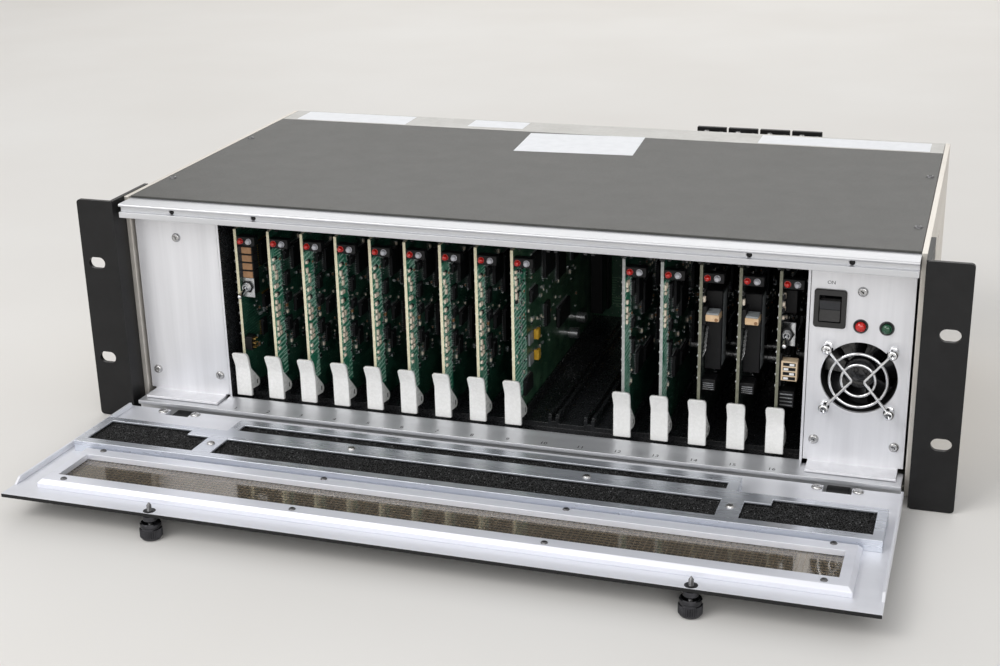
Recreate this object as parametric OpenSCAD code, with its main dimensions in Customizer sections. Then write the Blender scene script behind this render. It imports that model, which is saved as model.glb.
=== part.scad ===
// Modular card frame for video distribution, three rack units high, door open.
// Front of the rack ears is near -Y, the modules slide along Y, +Z is up.

/* [Frame] */
// Overall width across the rack ears
rack_w = 482.6; // [478:0.2:490]
// Height of the rack ears
ear_h = 130.5; // [129.5:0.1:132]
// Sheet thickness of the ears
ear_t = 2.4; // [1.6:0.1:3]
// How far the ear leg runs back along the side
ear_leg = 40; // [30:1:60]
// Centre to centre width of the rack slots
rack_hole_w = 465.1; // [463:0.1:467]
// Centre to centre height of the rack slots
rack_hole_h = 57.15; // [50:0.05:76.2]
// Length of a rack slot
rack_slot_l = 10.2; // [8:0.1:12]
// Height of a rack slot
rack_slot_h = 6.7; // [5.5:0.1:7.5]
// Width over the side plates
body_w = 437.6; // [436:0.2:438]
// Thickness of a side plate
side_t = 2.8; // [2:0.1:3]
// Depth from the ear front to the rear panel's back
depth = 241; // [238:1:280]
// Height to the top of the cover
case_h = 130.2; // [130:0.1:131]
// Sheet thickness of cover, base and rear panel
sheet_t = 1.2; // [0.8:0.1:1.5]
// Depth of the bare strip at the back of the top
rear_strip = 25.5; // [15:0.5:40]

/* [Card bay] */
// Number of card slots
slots = 16; // [16]
// Distance between two slots
slot_pitch = 20.32; // [20.3:0.01:20.4]
// Thickness of a card's board
board_t = 1.6; // [1.2:0.1:2]
// Length of a card's board
board_l = 166; // [120:1:170]
// Height of the board's lower edge
board_z = 14; // [14:0.1:14.5]
// Height of a card's board
board_h = 98.6; // [90:0.1:99]
// Setback of a board's front edge
board_y = 22.4; // [21:0.1:24]

/* [Door] */
// Half width of the door
door_half = 217; // [216.8:0.1:217.2]
// Length of the door from its hinge edge
door_l = 128.5; // [126:0.5:129]
// Sheet thickness of the door
door_t = 2; // [1.5:0.1:2.2]
// Slope of the open door in degrees
door_slope = 2.15; // [2.15]
// Height of the raised filter tray
tray_h = 6; // [4.5:0.1:6]
// Height of the window bezel
bezel_h = 4.5; // [3:0.1:4.5]

/* [Power module] */
// Width of a module panel
panel_w = 50.6; // [48:0.1:51]
// Opening of the fan
fan_d = 38; // [34:0.5:39]
// Side of the square fan
fan_side = 40; // [40:0.5:42]

/* [Hidden] */
// Plain sizes that several pieces share
eps = 0.01;
over = 1;
gap = 0.3;
seam = 0.02;
fine = 48;
coarse = 24;

// Open door: its hinge edge, its height there and its far edge
door_edge_u = 4;
door_seat_z = 9.7;
door_far_u = door_edge_u + door_l;

// Planes of the body
side_out = body_w / 2;
side_in = side_out - side_t;
cover_half = side_in - 0.2;
cover_z = case_h - sheet_t;
side_y = 13;
side_z = 0.8;
strip_y = depth - rear_strip;
cover_y = 15.5;
edge_r = 2;

// Rail profiles, front face at rail_y
rail_y = 1.5;
rail_lip = 1.8;
groove_y = rail_y + 2.5;
web_y = groove_y + 3;
rail_back = 15;
top_lip_z = cover_z - rail_lip;
groove_z = cover_z - 4.7;
low_lip_z = cover_z - 7.9;
groove_mid_z = (top_lip_z + groove_z) / 2;
cover_seat = 24;
shelf_z = 12;
shelf_y = -0.8;
shelf_t = 2.2;
ridge_z = board_z - gap;
ramp_y = 7.5;
ridge_y = 12;
rail_foot_y = 4;
rail_half_top = side_in;
rail_half_low = 215.2;

// Card bay
bay_half = slots * slot_pitch / 2;
divider_t = 1.4;
divider_out = bay_half + divider_t;
guide_front = 28.8;
guide_back = 188;
guide_w = 6;
guide_rise = 3.5;
guide_groove = board_t + 2 * gap;
tray_low_z = 8.3;
tray_floor_z = 9.8;
tray_high_z = board_z - 1.5;
top_tray_z = 118.6;
plane_y = 205;
plane_t = 2.4;
socket_d = 8;
board_off = 5.4;
board_front = board_y;
plug_d = 12.3;

// Slots that hold a card
CARDS = [1, 2, 3, 4, 5, 6, 7, 8, 9, 12, 13, 14, 15, 16];
function slot_x(n) = -bay_half + (n - 1) * slot_pitch;
function board_x(n) = slot_x(n) + board_off;

// Module bays left and right of the cards
module_x = 189.4;
panel_y = 15.3;
panel_t = 2;
panel_z = 14.3;
panel_top = 120.6;
tongue_w = 45.6;
tongue_y = 4;
tongue_t = 1.4;
tongue_z = shelf_z + gap;
fan_x = 190;
fan_z = 61.75;
fan_t = 20;
fan_pitch = 32;
case_w = 46.4;
case_z = 15;
case_top = 118;
case_back = 196;

// Rocker switch and lamps
switch_x = 174;
switch_w = 16;
switch_z = 97.6;
switch_h = 20.2;
rocker_w = 10.5;
rocker_h = 13.6;
bezel_out = 1.6;
rocker_pivot_y = panel_y + 2;
lamp_z = 89.4;
lamp_red_x = 189.3;
lamp_green_x = 202;
lamp_d = 7.5;

// Hinge of the door
hinge_y = -8;
hinge_z = 4.5;
hinge_u = -hinge_y * cos(door_slope) - (door_seat_z - hinge_z) * sin(door_slope);
hinge_h = hinge_y * sin(door_slope) - (door_seat_z - hinge_z) * cos(door_slope);
hinge_x = 184.8;
hinge_block_w = 11.6;
hinge_cut_w = 14.4;
hinge_cut_u = hinge_u + 4;
pin_r = 1.4;
leaf_t = 1.6;
leaf_w = 9;

// Parts of the door, along u from the hinge edge
flange_u0 = 6;
flange_u1 = 121;
flange_h = 3;
flange_t = 1.4;
bezel_half = 203.4;
bezel_u0 = 75;
bezel_u1 = 121;
window_half = 196.5;
window_u0 = 84.5;
window_u1 = 111.5;
pane_lap = 3;
pane_t = 1.4;
tray_half = 212;
tray_u0 = 20;
tray_step_u = 37;
tray_u1 = 73;
tray_step_x = 139;
tray_t = 1;
slot_half = 133.3;
strip_u0 = 27;
strip_u1 = 35.3;
mid_u0 = 47.7;
mid_u1 = 67.3;
side_x0 = 144.5;
side_x1 = 207;
side_u0 = 41.5;
side_notch_x = 157.5;
vent_w = 4;
vent_pitch = 8;
thumb_x = 134.5;
thumb_u = groove_mid_z - hinge_z + hinge_u;
ferrule_r = 3.6;
ferrule_l = 3;
shank_r = 1.25;
shank_tip = 4.5;
knob_r = 5.6;
knob_bore = ferrule_r + 0.6;
knob_top_h = 5.8;

// Ejector lever, places from its pivot
eject_y = 25.2;
eject_z = 20.3;
eject_w = 9.4;
eject_left = 3.3;
eject_front = 17.5;
eject_t = 2;
eject_low = board_z;
eject_top = 41;
eject_waist = 32.5;
cheek_t = 1.5;
cheek_top = 30.5;
eject_pin_r = 1.5;
eject_hole_r = 1.7;

// Screw heads
head_r = 2.6;
head_h = 1.4;
shaft_r = 1.2;

// Centre of the overall box along Y, so that the origin is under it
block_reach = 14;
door_reach = (thumb_u + knob_r) * cos(door_slope);
rear_reach = depth + block_reach;
front_y = -(rear_reach - door_reach) / 2;

// Moves a piece from the ear-front origin to the origin under the box centre
module stand() { translate([0, front_y, 0]) children(); }

// Door axes: x across, -y away from the hinge, z off the inner skin
module on_door() {
    stand() translate([0, 0, door_seat_z]) rotate([-door_slope, 0, 0]) children();
}

// A box given by its two corners
module span(a, b) { translate(a) cube(b - a); }

// Both left and right copies
module both() {
    children();
    mirror([1, 0, 0]) children();
}

// A profile drawn in Y and Z, swept along X over a half width on both sides
module sweep_x(half) {
    translate([-half, 0, 0]) rotate([90, 0, 90]) linear_extrude(2 * half) children();
}

// A flat plate with round corners, centred, in X and Y
module round_plate(w, h, r) {
    square([w - 2 * r, h], center = true);
    square([w, h - 2 * r], center = true);
    for (x = [-1, 1], y = [-1, 1])
        translate([x * (w / 2 - r), y * (h / 2 - r)]) circle(r, $fn = coarse);
}

// A slot with round ends, centred, in X and Y
module round_slot(l, h) {
    square([l - h, h], center = true);
    for (x = [-1, 1]) translate([x * (l - h) / 2, 0]) circle(d = h, $fn = coarse);
}

// Pan head screw, head along +Z from the seat at zero, shaft below it
module screw(r = head_r, h = head_h, shaft = 0) {
    difference() {
        union() {
            cylinder(r = r, h = h * 0.6, $fn = coarse);
            translate([0, 0, h * 0.6]) cylinder(r1 = r, r2 = r * 0.7, h = h * 0.4, $fn = coarse);
        }
        translate([0, 0, h]) cube([r, r * 0.3, h], center = true);
        translate([0, 0, h]) cube([r * 0.3, r, h], center = true);
    }
    if (shaft > 0) translate([0, 0, -shaft]) cylinder(r = shaft_r, h = shaft + eps, $fn = coarse);
}

// Pieces of the body

// The two side plates, each with an inward flange that carries the cover
module side_plates() {
    flange_w = 9;
    flange_y = cover_seat + gap;
    slot_l = 22;
    slot_h = 5;
    slot_first = 92;
    slot_step = 29;
    slot_level = 97;
    color("#c9c3b8") stand() both() difference() {
        union() {
            span([side_in, side_y, side_z], [side_out, depth, case_h]);
            span([side_in - flange_w, flange_y, cover_z - sheet_t],
                 [side_in + eps, depth - sheet_t, cover_z]);
            span([side_in - flange_w, side_y + flange_w, sheet_t],
                 [side_in + eps, depth - sheet_t, 2 * sheet_t]);
        }
        for (i = [0 : 2])
            translate([side_out, slot_first + i * slot_step, slot_level])
                rotate([90, 0, 90]) linear_extrude(4 * side_t, center = true)
                    round_slot(slot_l, slot_h);
    }
}

// The painted cover between the top rail and the rear strip
module top_cover() {
    color("#55564f") stand()
        span([-cover_half, cover_y, cover_z], [cover_half, strip_y - gap, case_h]);
}

// The bottom sheet with its low upturned rear edge
module base_plate() {
    color("#b9b7b2") stand() {
        span([-cover_half, rail_y, 0], [cover_half, depth - sheet_t, sheet_t]);
    }
}

// One L-shaped ear: face with two slots and a leg along the side plate
module ear() {
    outer = rack_w / 2;
    bend = side_out + ear_t;
    face_w = outer - side_out;
    foot = case_h - ear_h + 0.7;
    difference() {
        union() {
            translate([side_out + face_w / 2, ear_t, foot + (ear_h - foot) / 2])
                rotate([90, 0, 0]) linear_extrude(ear_t) round_plate(face_w, ear_h - foot, edge_r);
            span([side_out, ear_t / 2, foot], [bend, ear_leg, ear_h]);
        }
        for (z = [-1, 1])
            translate([rack_hole_w / 2, ear_t / 2, ear_h / 2 + z * rack_hole_h / 2])
                rotate([90, 0, 0]) linear_extrude(3 * ear_t, center = true)
                    round_slot(rack_slot_l, rack_slot_h);
    }
}
module rack_ears() { color("#1c1c1e") stand() both() ear(); }

// Top and bottom extruded rails
module front_rails() {
    lip_r = rail_lip / 2;
    hole_xs = [-thumb_x, thumb_x];
    guide_xs = [-module_x + 5.2, module_x - 5.2];
    color("#cfcfcd") stand() {
        difference() {
            sweep_x(rail_half_top) {
                polygon([[rail_y + lip_r, cover_z], [cover_seat, cover_z], [cover_seat, top_lip_z],
                         [web_y, top_lip_z], [web_y, low_lip_z + rail_lip],
                         [rail_back, low_lip_z + rail_lip], [rail_back, low_lip_z],
                         [rail_y, low_lip_z], [rail_y, groove_z], [groove_y, groove_z],
                         [groove_y, top_lip_z], [rail_y + lip_r, top_lip_z]]);
                translate([rail_y + lip_r, cover_z - lip_r]) circle(lip_r, $fn = coarse);
            }
            for (x = concat(hole_xs, guide_xs))
                translate([x, web_y, groove_mid_z]) rotate([90, 0, 0])
                    cylinder(r = shank_r + 0.2, h = 4 * rail_lip, center = true, $fn = fine);
        }
        difference() {
            sweep_x(rail_half_low)
                polygon([[shelf_y, shelf_z], [ramp_y, shelf_z], [ridge_y, ridge_z],
                         [rail_back, ridge_z], [rail_back, shelf_z - shelf_t],
                         [rail_foot_y + shelf_t, shelf_z - shelf_t],
                         [rail_foot_y + shelf_t, sheet_t + rail_lip],
                         [rail_back, sheet_t + rail_lip], [rail_back, sheet_t],
                         [rail_y, sheet_t], [rail_y, shelf_z - shelf_t],
                         [shelf_y, shelf_z - shelf_t]]);
            both() span([divider_out, ramp_y - over, shelf_z],
                        [rail_half_low + over, rail_back + over, ridge_z + over]);
        }
    }
}

// Places on the rear panel
bnc_rows = 4;
bnc_row_z = 30;
bnc_row_step = 19;
block_x0 = 61;
block_w = 18.9;
block_step = 20.2;
block_z0 = 108;
block_z1 = 127;
inlet_z = 40;
inlet_w = 27;
inlet_h = 20;
rear_in = depth - sheet_t;
bnc_hole_r = 5;

// Rear panel with the bare top strip and its connector holes
module rear_panel() {
    color("#c4c2bd") stand() difference() {
        union() {
            span([-cover_half, rear_in, sheet_t], [cover_half, depth, case_h]);
            span([-cover_half, strip_y, cover_z], [cover_half, depth, case_h]);
        }
        for (n = [1 : slots], r = [0 : bnc_rows - 1])
            translate([slot_x(n) + slot_pitch / 2, depth, bnc_row_z + r * bnc_row_step])
                rotate([90, 0, 0])
                    cylinder(r = bnc_hole_r, h = 4 * sheet_t, center = true, $fn = coarse);
        both() span([module_x - inlet_w / 2, rear_in - over, inlet_z - inlet_h / 2],
                    [module_x + inlet_w / 2, depth + over, inlet_z + inlet_h / 2]);
    }
}

// Lower and upper trays with a grooved guide for every slot
module guide_rib(n, z0, z1) {
    x = board_x(n) + board_t / 2;
    span([x - guide_w / 2, guide_front, z0], [x + guide_w / 2, guide_back, z1]);
}
module guide_cut(n, z0, z1) {
    x = board_x(n) + board_t / 2;
    span([x - guide_groove / 2, guide_front - over, z0],
         [x + guide_groove / 2, guide_back + over, z1]);
}
module card_guides() {
    board_top = board_z + board_h;
    color("#17181a") stand() {
        difference() {
            union() {
                sweep_x(bay_half)
                    polygon([[rail_back, tray_floor_z], [guide_front, tray_floor_z],
                             [guide_front, tray_high_z], [plane_y, tray_high_z],
                             [plane_y, tray_low_z], [rail_back, tray_low_z]]);
                for (n = [1 : slots])
                    guide_rib(n, tray_high_z - eps, tray_high_z + guide_rise);
            }
            for (n = [1 : slots])
                guide_cut(n, board_z - gap, tray_high_z + guide_rise + over);
        }
        difference() {
            union() {
                span([-bay_half, guide_front, top_tray_z],
                     [bay_half, plane_y, top_tray_z + sheet_t]);
                for (n = [1 : slots])
                    guide_rib(n, board_top - guide_rise / 2, top_tray_z + eps);
            }
            for (n = [1 : slots])
                guide_cut(n, board_top - guide_rise, board_top + gap);
        }
    }
}

// Rear circuit board with one socket per slot
module midplane() {
    plane_half = bay_half;
    socket_w = 9;
    socket_z0 = 20;
    socket_z1 = 106;
    color("#1f5a41") stand() {
        span([-plane_half, plane_y, tray_low_z], [plane_half, plane_y + plane_t, top_tray_z]);
        for (n = [1 : slots])
            span([board_x(n) + board_t, plane_y - socket_d, socket_z0],
                 [board_x(n) + board_t + socket_w, plane_y, socket_z1]);
    }
}

// Sheet walls between the card bay and the module bays
module bay_dividers() {
    fold = 6;
    color("#bdbcb9") stand() both() {
        span([bay_half, rail_back, sheet_t], [divider_out, plane_y + plane_t, top_lip_z]);
        span([divider_out - eps, rail_back + fold, sheet_t],
             [divider_out + fold, plane_y + plane_t, 2 * sheet_t]);
    }
}

// A module panel's blank, centred on its bay, with its pull tongue
module panel_blank() {
    span([-panel_w / 2, panel_y, panel_z], [panel_w / 2, panel_y + panel_t, panel_top]);
    span([-tongue_w / 2, tongue_y, tongue_z], [tongue_w / 2, panel_y + panel_t, tongue_z + tongue_t]);
    span([-tongue_w / 2, panel_y, tongue_z], [tongue_w / 2, panel_y + panel_t, panel_z + eps]);
}

// Screws shared by both panels: one high, two low, as [x, z] from the bay centre
panel_screws = [[0, 107.5], [-20.1, 26], [20.1, 26]];

// Blanking panel of the empty left bay with its two folded returns
module blank_panel() {
    fold_d = 14;
    color("#d5d4d2") stand() translate([-module_x, 0, 0]) difference() {
        union() {
            panel_blank();
            both() span([case_w / 2 - sheet_t, panel_y + panel_t - eps, case_z],
                        [case_w / 2, panel_y + panel_t + fold_d, case_top]);
        }
        for (s = panel_screws) translate([s[0], panel_y, s[1]]) rotate([90, 0, 0])
            cylinder(r = shaft_r, h = 4 * panel_t, center = true, $fn = coarse);
    }
}

// Every small screw that stays on the body
module chassis_screws() {
    cover_screw_x = side_in - 4.5;
    cover_screw_ys = [56, 158];
    ear_screw_y = 28;
    ear_screw_zs = [22, 65, 108];
    rear_screw_z = [9, 121];
    color("#9a9a98") stand() {
        for (s = panel_screws) translate([s[0] - module_x, panel_y, s[1]]) rotate([90, 0, 0])
            screw(shaft = panel_t);
        both() {
            for (y = cover_screw_ys) translate([cover_screw_x, y, case_h]) screw(r = 2.2, h = 0.9);
            for (z = ear_screw_zs) translate([side_out + ear_t, ear_screw_y, z])
                rotate([0, 90, 0]) screw();
            for (z = rear_screw_z) translate([cover_half - 6, depth, z]) rotate([-90, 0, 0])
                screw();
        }
    }
}

// Rear coaxial sockets, one column per slot
module bnc() {
    flange_r = 6.4;
    barrel_r = 4.8;
    barrel_l = 12;
    bore_r = 4;
    core_r = 2.2;
    lug_r = 0.9;
    nut_h = 2;
    rotate([-90, 0, 0]) {
        difference() {
            union() {
                cylinder(r = flange_r, h = nut_h, $fn = 6);
                cylinder(r = barrel_r, h = barrel_l + nut_h, $fn = coarse);
            }
            translate([0, 0, nut_h + over]) cylinder(r = bore_r, h = barrel_l + over, $fn = coarse);
        }
        cylinder(r = core_r, h = barrel_l - over, $fn = coarse);
        translate([0, 0, barrel_l - over]) rotate([0, 90, 0])
            for (a = [0, 180]) rotate([a, 0, 0])
                translate([0, 0, bore_r + 0.3]) cylinder(r = lug_r, h = 2.2, $fn = coarse);
    }
}
module bnc_connectors() {
    color("#b4b4b2") stand()
        for (n = [1 : slots], r = [0 : bnc_rows - 1])
            translate([slot_x(n) + slot_pitch / 2, depth, bnc_row_z + r * bnc_row_step]) bnc();
}

// Four black screw terminal blocks at the top of the rear panel
module terminal_blocks() {
    reach = block_reach;
    ways = 4;
    way = block_w / ways;
    shelf = 8;
    color("#18181a") stand() for (i = [0 : 3]) translate([block_x0 + i * block_step, depth, 0]) {
        difference() {
            union() {
                span([0, 0, block_z0], [block_w, reach - 4, block_z1]);
                span([0, 0, block_z0], [block_w, reach, block_z1 - shelf]);
            }
            for (w = [0 : ways - 1])
                span([(w + 0.2) * way, reach - 6, block_z0 + 2],
                     [(w + 0.8) * way, reach + over, block_z0 + 7]);
        }
        for (w = [0 : ways - 1]) translate([(w + 0.5) * way, reach - 2, block_z1 - shelf])
            screw(r = 1.7, h = 1.2);
    }
}

// Two rear mains inlets with an open socket and three pins
module inlet() {
    rim = 2;
    rim_out = 3;
    body_d = 22;
    wall = 1.8;
    pin_l = 9;
    pin_w = 2;
    pin_h = 5;
    pin_sp = 7;
    corner = 4;
    well = body_d - 4;
    difference() {
        union() {
            span([-inlet_w / 2 - rim, 0, -inlet_h / 2 - rim],
                 [inlet_w / 2 + rim, rim_out, inlet_h / 2 + rim]);
            span([-inlet_w / 2 + gap, rim_out - body_d, -inlet_h / 2 + gap],
                 [inlet_w / 2 - gap, over, inlet_h / 2 - gap]);
        }
        translate([0, rim_out + over, 0]) rotate([90, 0, 0]) linear_extrude(well + over)
            polygon([[-inlet_w / 2 + wall, -inlet_h / 2 + wall],
                     [inlet_w / 2 - wall, -inlet_h / 2 + wall],
                     [inlet_w / 2 - wall, inlet_h / 2 - wall - corner],
                     [inlet_w / 2 - wall - corner, inlet_h / 2 - wall],
                     [-inlet_w / 2 + wall + corner, inlet_h / 2 - wall],
                     [-inlet_w / 2 + wall, inlet_h / 2 - wall - corner]]);
    }
    for (p = [[-pin_sp, -2], [0, 2], [pin_sp, -2]])
        span([p[0] - pin_w / 2, rim_out - well - eps, p[1] - pin_h / 2],
             [p[0] + pin_w / 2, rim_out - well + pin_l, p[1] + pin_h / 2]);
}
module power_inlets() {
    color("#202022") stand() for (x = [-module_x, module_x]) translate([x, depth, inlet_z]) inlet();
}

// Hinge blocks on the bottom rail, each with its cross pin
module hinge_blocks() {
    low = sheet_t;
    front = hinge_y - 3.6;
    high = hinge_z + 3.2;
    color("#161617") stand() both() {
        translate([hinge_x - hinge_block_w / 2, 0, 0]) rotate([90, 0, 90])
            linear_extrude(hinge_block_w) {
                polygon([[hinge_y, low], [rail_y, low], [rail_y, high], [hinge_y, high]]);
                translate([hinge_y, (low + high) / 2]) circle((high - low) / 2, $fn = fine);
            }
        translate([hinge_x, hinge_y, hinge_z]) rotate([0, 90, 0])
            cylinder(r = pin_r, h = hinge_cut_w + 2 * leaf_t, center = true, $fn = coarse);
    }
}

// Pieces of the door

// Row of vent slots through the skin, between two x values
module vent_row(x0, x1, u0, u1) {
    count = floor((x1 - x0) / vent_pitch);
    first = (x0 + x1 - count * vent_pitch) / 2;
    for (i = [0 : count - 1])
        span([first + (i + 0.5) * vent_pitch - vent_w / 2, -u1, -door_t - over],
             [first + (i + 0.5) * vent_pitch + vent_w / 2, -u0, over]);
}

// Two hinge ears under one cut-out, with a true pin bore
module hinge_leaf() {
    ear_low = hinge_h - 3;
    ear_half = 4.2;
    for (s = [-1, 1]) translate([hinge_x + s * (hinge_cut_w / 2 + leaf_t / 2), 0, 0])
        difference() {
            union() {
                span([-leaf_t / 2, -hinge_u - ear_half, hinge_h], [leaf_t / 2, -hinge_u + 3, -door_t]);
                translate([0, -hinge_u, hinge_h]) rotate([0, 90, 0])
                    cylinder(r = 3, h = leaf_t, center = true, $fn = coarse);
                translate([s * leaf_w / 2, 0, 0])
                    span([-leaf_w / 2 - leaf_t / 2, -hinge_u - ear_half, -door_t - leaf_t],
                         [leaf_w / 2, -hinge_u + 3, -door_t]);
            }
            translate([0, -hinge_u, hinge_h]) rotate([0, 90, 0])
                cylinder(r = pin_r + 0.2, h = 4 * leaf_t, center = true, $fn = coarse);
        }
}

// The door's sheet with hinge cut-outs, vents and window hole, and the riveted strip along each side
module door_skin() {
    lean = 1.5;
    nose = 8;
    window_lap = 2;
    color("#b8b8b6") on_door() difference() {
        union() {
            span([-door_half, -door_far_u, -door_t], [door_half, -door_edge_u, 0]);
            both() translate([door_half, 0, 0]) rotate([90, 0, -90]) linear_extrude(flange_t)
                polygon([[flange_u0, seam], [flange_u1, seam], [flange_u1 - nose / 2, flange_h],
                         [flange_u0 + lean, flange_h]]);
            both() hinge_leaf();
        }
        both() span([hinge_x - hinge_cut_w / 2, -hinge_cut_u, -door_t - over],
                    [hinge_x + hinge_cut_w / 2, -door_edge_u + over, over]);
        span([-window_half - window_lap, -window_u1 - window_lap, -door_t - over],
             [window_half + window_lap, -window_u0 + window_lap, over]);
        vent_row(-slot_half, slot_half, strip_u0, strip_u1);
        vent_row(-slot_half, slot_half, mid_u0 + 2, mid_u1 - 2);
        both() vent_row(side_x0, side_x1, mid_u0, mid_u1 - 2);
        both() translate([thumb_x, -thumb_u, 0])
            cylinder(r = ferrule_r - 1, h = 4 * door_t, center = true, $fn = fine);
    }
}

// Outline of the filter tray, stepped back beside the hinges, at an inset
module tray_outline(d) {
    polygon([[-tray_half + d, -tray_u1 + d], [tray_half - d, -tray_u1 + d],
             [tray_half - d, -tray_step_u - d], [tray_step_x - d, -tray_step_u - d],
             [tray_step_x - d, -tray_u0 - d], [-tray_step_x + d, -tray_u0 - d],
             [-tray_step_x + d, -tray_step_u - d], [-tray_half + d, -tray_step_u - d]]);
}

// The four foam openings of the tray
module tray_openings() {
    translate([-slot_half, -strip_u1]) square([2 * slot_half, strip_u1 - strip_u0]);
    translate([-slot_half, -mid_u1]) square([2 * slot_half, mid_u1 - mid_u0]);
    for (m = [0, 1]) mirror([m, 0]) {
        translate([side_x0, -mid_u1]) square([side_x1 - side_x0, mid_u1 - mid_u0]);
        translate([side_notch_x, -mid_u1]) square([side_x1 - side_notch_x, mid_u1 - side_u0]);
    }
}
module filter_tray() {
    color("#c2c3c5") on_door() difference() {
        linear_extrude(tray_h) tray_outline(0);
        translate([0, 0, -over]) linear_extrude(tray_h - tray_t + over) tray_outline(tray_t);
        translate([0, 0, -over]) linear_extrude(tray_h + 2 * over) tray_openings();
    }
}

// Reticulated foam that fills the tray from below
module filter_foam() {
    color("#141414") on_door()
        linear_extrude(tray_h - tray_t) tray_outline(tray_t);
}

// Raised window frame with sloped outer edges
module window_bezel() {
    slope = 2;
    mid_u = (bezel_u0 + bezel_u1) / 2;
    half_u = (bezel_u1 - bezel_u0) / 2;
    color("#d9d9d8") on_door() difference() {
        intersection() {
            translate([0, -mid_u, 0]) rotate([90, 0, 0]) linear_extrude(2 * half_u, center = true)
                polygon([[-bezel_half, 0], [bezel_half, 0], [bezel_half, bezel_h - slope],
                         [bezel_half - slope, bezel_h], [-bezel_half + slope, bezel_h],
                         [-bezel_half, bezel_h - slope]]);
            sweep_x(bezel_half)
                polygon([[-bezel_u1, 0], [-bezel_u0, 0], [-bezel_u0, bezel_h - slope],
                         [-bezel_u0 - slope, bezel_h], [-bezel_u1 + slope, bezel_h],
                         [-bezel_u1, bezel_h - slope]]);
        }
        span([-window_half, -window_u1, -over], [window_half, -window_u0, bezel_h + over]);
        span([-window_half - pane_lap, -window_u1 - pane_lap, -over],
             [window_half + pane_lap, -window_u0 + pane_lap, pane_t]);
    }
}

// Smoked window pane in the bezel's rebate
module window_pane() {
    lap = pane_lap;
    color("#2b2a26") on_door()
        span([-window_half - lap, -window_u1 - lap, 0], [window_half + lap, -window_u0 + lap, pane_t]);
}

// Screws on the door and the two ferrules that hold the thumbscrews
bezel_screw_xs = [63.5, 190.5];
bezel_screw_us = [78.6, 116.3];
tray_screws = [[138.9, 56], [64, 41.5]];
hinge_screw_xs = [174.6, 195];
module door_screws() {
    color("#a4a4a3") on_door() both() {
        for (x = bezel_screw_xs, u = bezel_screw_us) translate([x, -u, bezel_h])
            screw(r = 1.9, h = 1.1);
        for (s = tray_screws) translate([s[0], -s[1], tray_h]) screw(r = 2.2, h = 1);
        for (x = hinge_screw_xs) translate([x, -hinge_u, 0]) screw(r = 2.9, h = 1.2);
        translate([thumb_x, -thumb_u, -door_t - ferrule_l]) difference() {
            cylinder(r = ferrule_r, h = ferrule_l, $fn = fine);
            translate([0, 0, -over]) cylinder(r = shank_r + 0.5, h = ferrule_l + 2 * over, $fn = fine);
        }
    }
}

// One captive thumbscrew: ribbed hollow knob and long shank
module thumbscrew() {
    knob_bottom = (door_seat_z + thumb_u * sin(door_slope)) / cos(door_slope) - knob_r * tan(door_slope);
    ribs = 20;
    skirt = 2.6;
    translate([0, -thumb_u, 0]) {
        difference() {
            translate([0, 0, -knob_bottom]) cylinder(r = knob_r, h = knob_bottom - knob_top_h, $fn = fine);
            translate([0, 0, -knob_top_h - skirt]) cylinder(r = knob_bore, h = 2 * skirt, $fn = fine);
            for (i = [0 : ribs - 1]) rotate([0, 0, i * 360 / ribs])
                translate([knob_r, 0, -knob_bottom / 2]) rotate([0, 0, 45])
                    cube([0.8, 0.8, 2 * knob_bottom], center = true);
        }
        translate([0, 0, -knob_top_h - skirt - eps])
            cylinder(r = shank_r, h = knob_top_h + skirt + shank_tip, $fn = fine);
    }
}
module thumbscrew_left() { color("#1a1a1a") on_door() translate([-thumb_x, 0, 0]) thumbscrew(); }
module thumbscrew_right() { color("#1a1a1a") on_door() translate([thumb_x, 0, 0]) thumbscrew(); }

// Pieces of the power module

// Sheet case behind the module panel, open at the front for the fan
module psu_case() {
    vents = 8;
    vent_first = 60;
    vent_step = 14;
    color("#b9b9b7") stand() translate([module_x, 0, 0]) difference() {
        span([-case_w / 2, panel_y + panel_t, case_z], [case_w / 2, case_back, case_top]);
        span([-case_w / 2 + sheet_t, panel_y + panel_t - over, case_z + sheet_t],
             [case_w / 2 - sheet_t, case_back - sheet_t, case_top - sheet_t]);
        for (i = [0 : vents - 1])
            span([-case_w, vent_first + i * vent_step, case_z + 20],
                 [case_w, vent_first + i * vent_step + 4, case_top - 20]);
    }
}

// Module panel with fan hole, switch and lamp cut-outs
module psu_panel() {
    color("#d5d4d2") stand() difference() {
        translate([module_x, 0, 0]) panel_blank();
        translate([fan_x, panel_y, fan_z]) rotate([90, 0, 0])
            cylinder(d = fan_d, h = 4 * panel_t, center = true, $fn = fine);
        span([switch_x - rocker_w / 2 - over, panel_y - over, switch_z - rocker_h / 2 - over],
             [switch_x + rocker_w / 2 + over, panel_y + panel_t + over, switch_z + rocker_h / 2 + over]);
        for (x = [lamp_red_x, lamp_green_x]) translate([x, panel_y, lamp_z]) rotate([90, 0, 0])
            cylinder(d = lamp_d - 1.5, h = 4 * panel_t, center = true, $fn = coarse);
        for (x = [-1, 1], z = [-1, 1])
            translate([fan_x + x * fan_pitch / 2, panel_y, fan_z + z * fan_pitch / 2])
                rotate([90, 0, 0]) cylinder(r = shaft_r, h = 4 * panel_t, center = true, $fn = coarse);
    }
}

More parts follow.
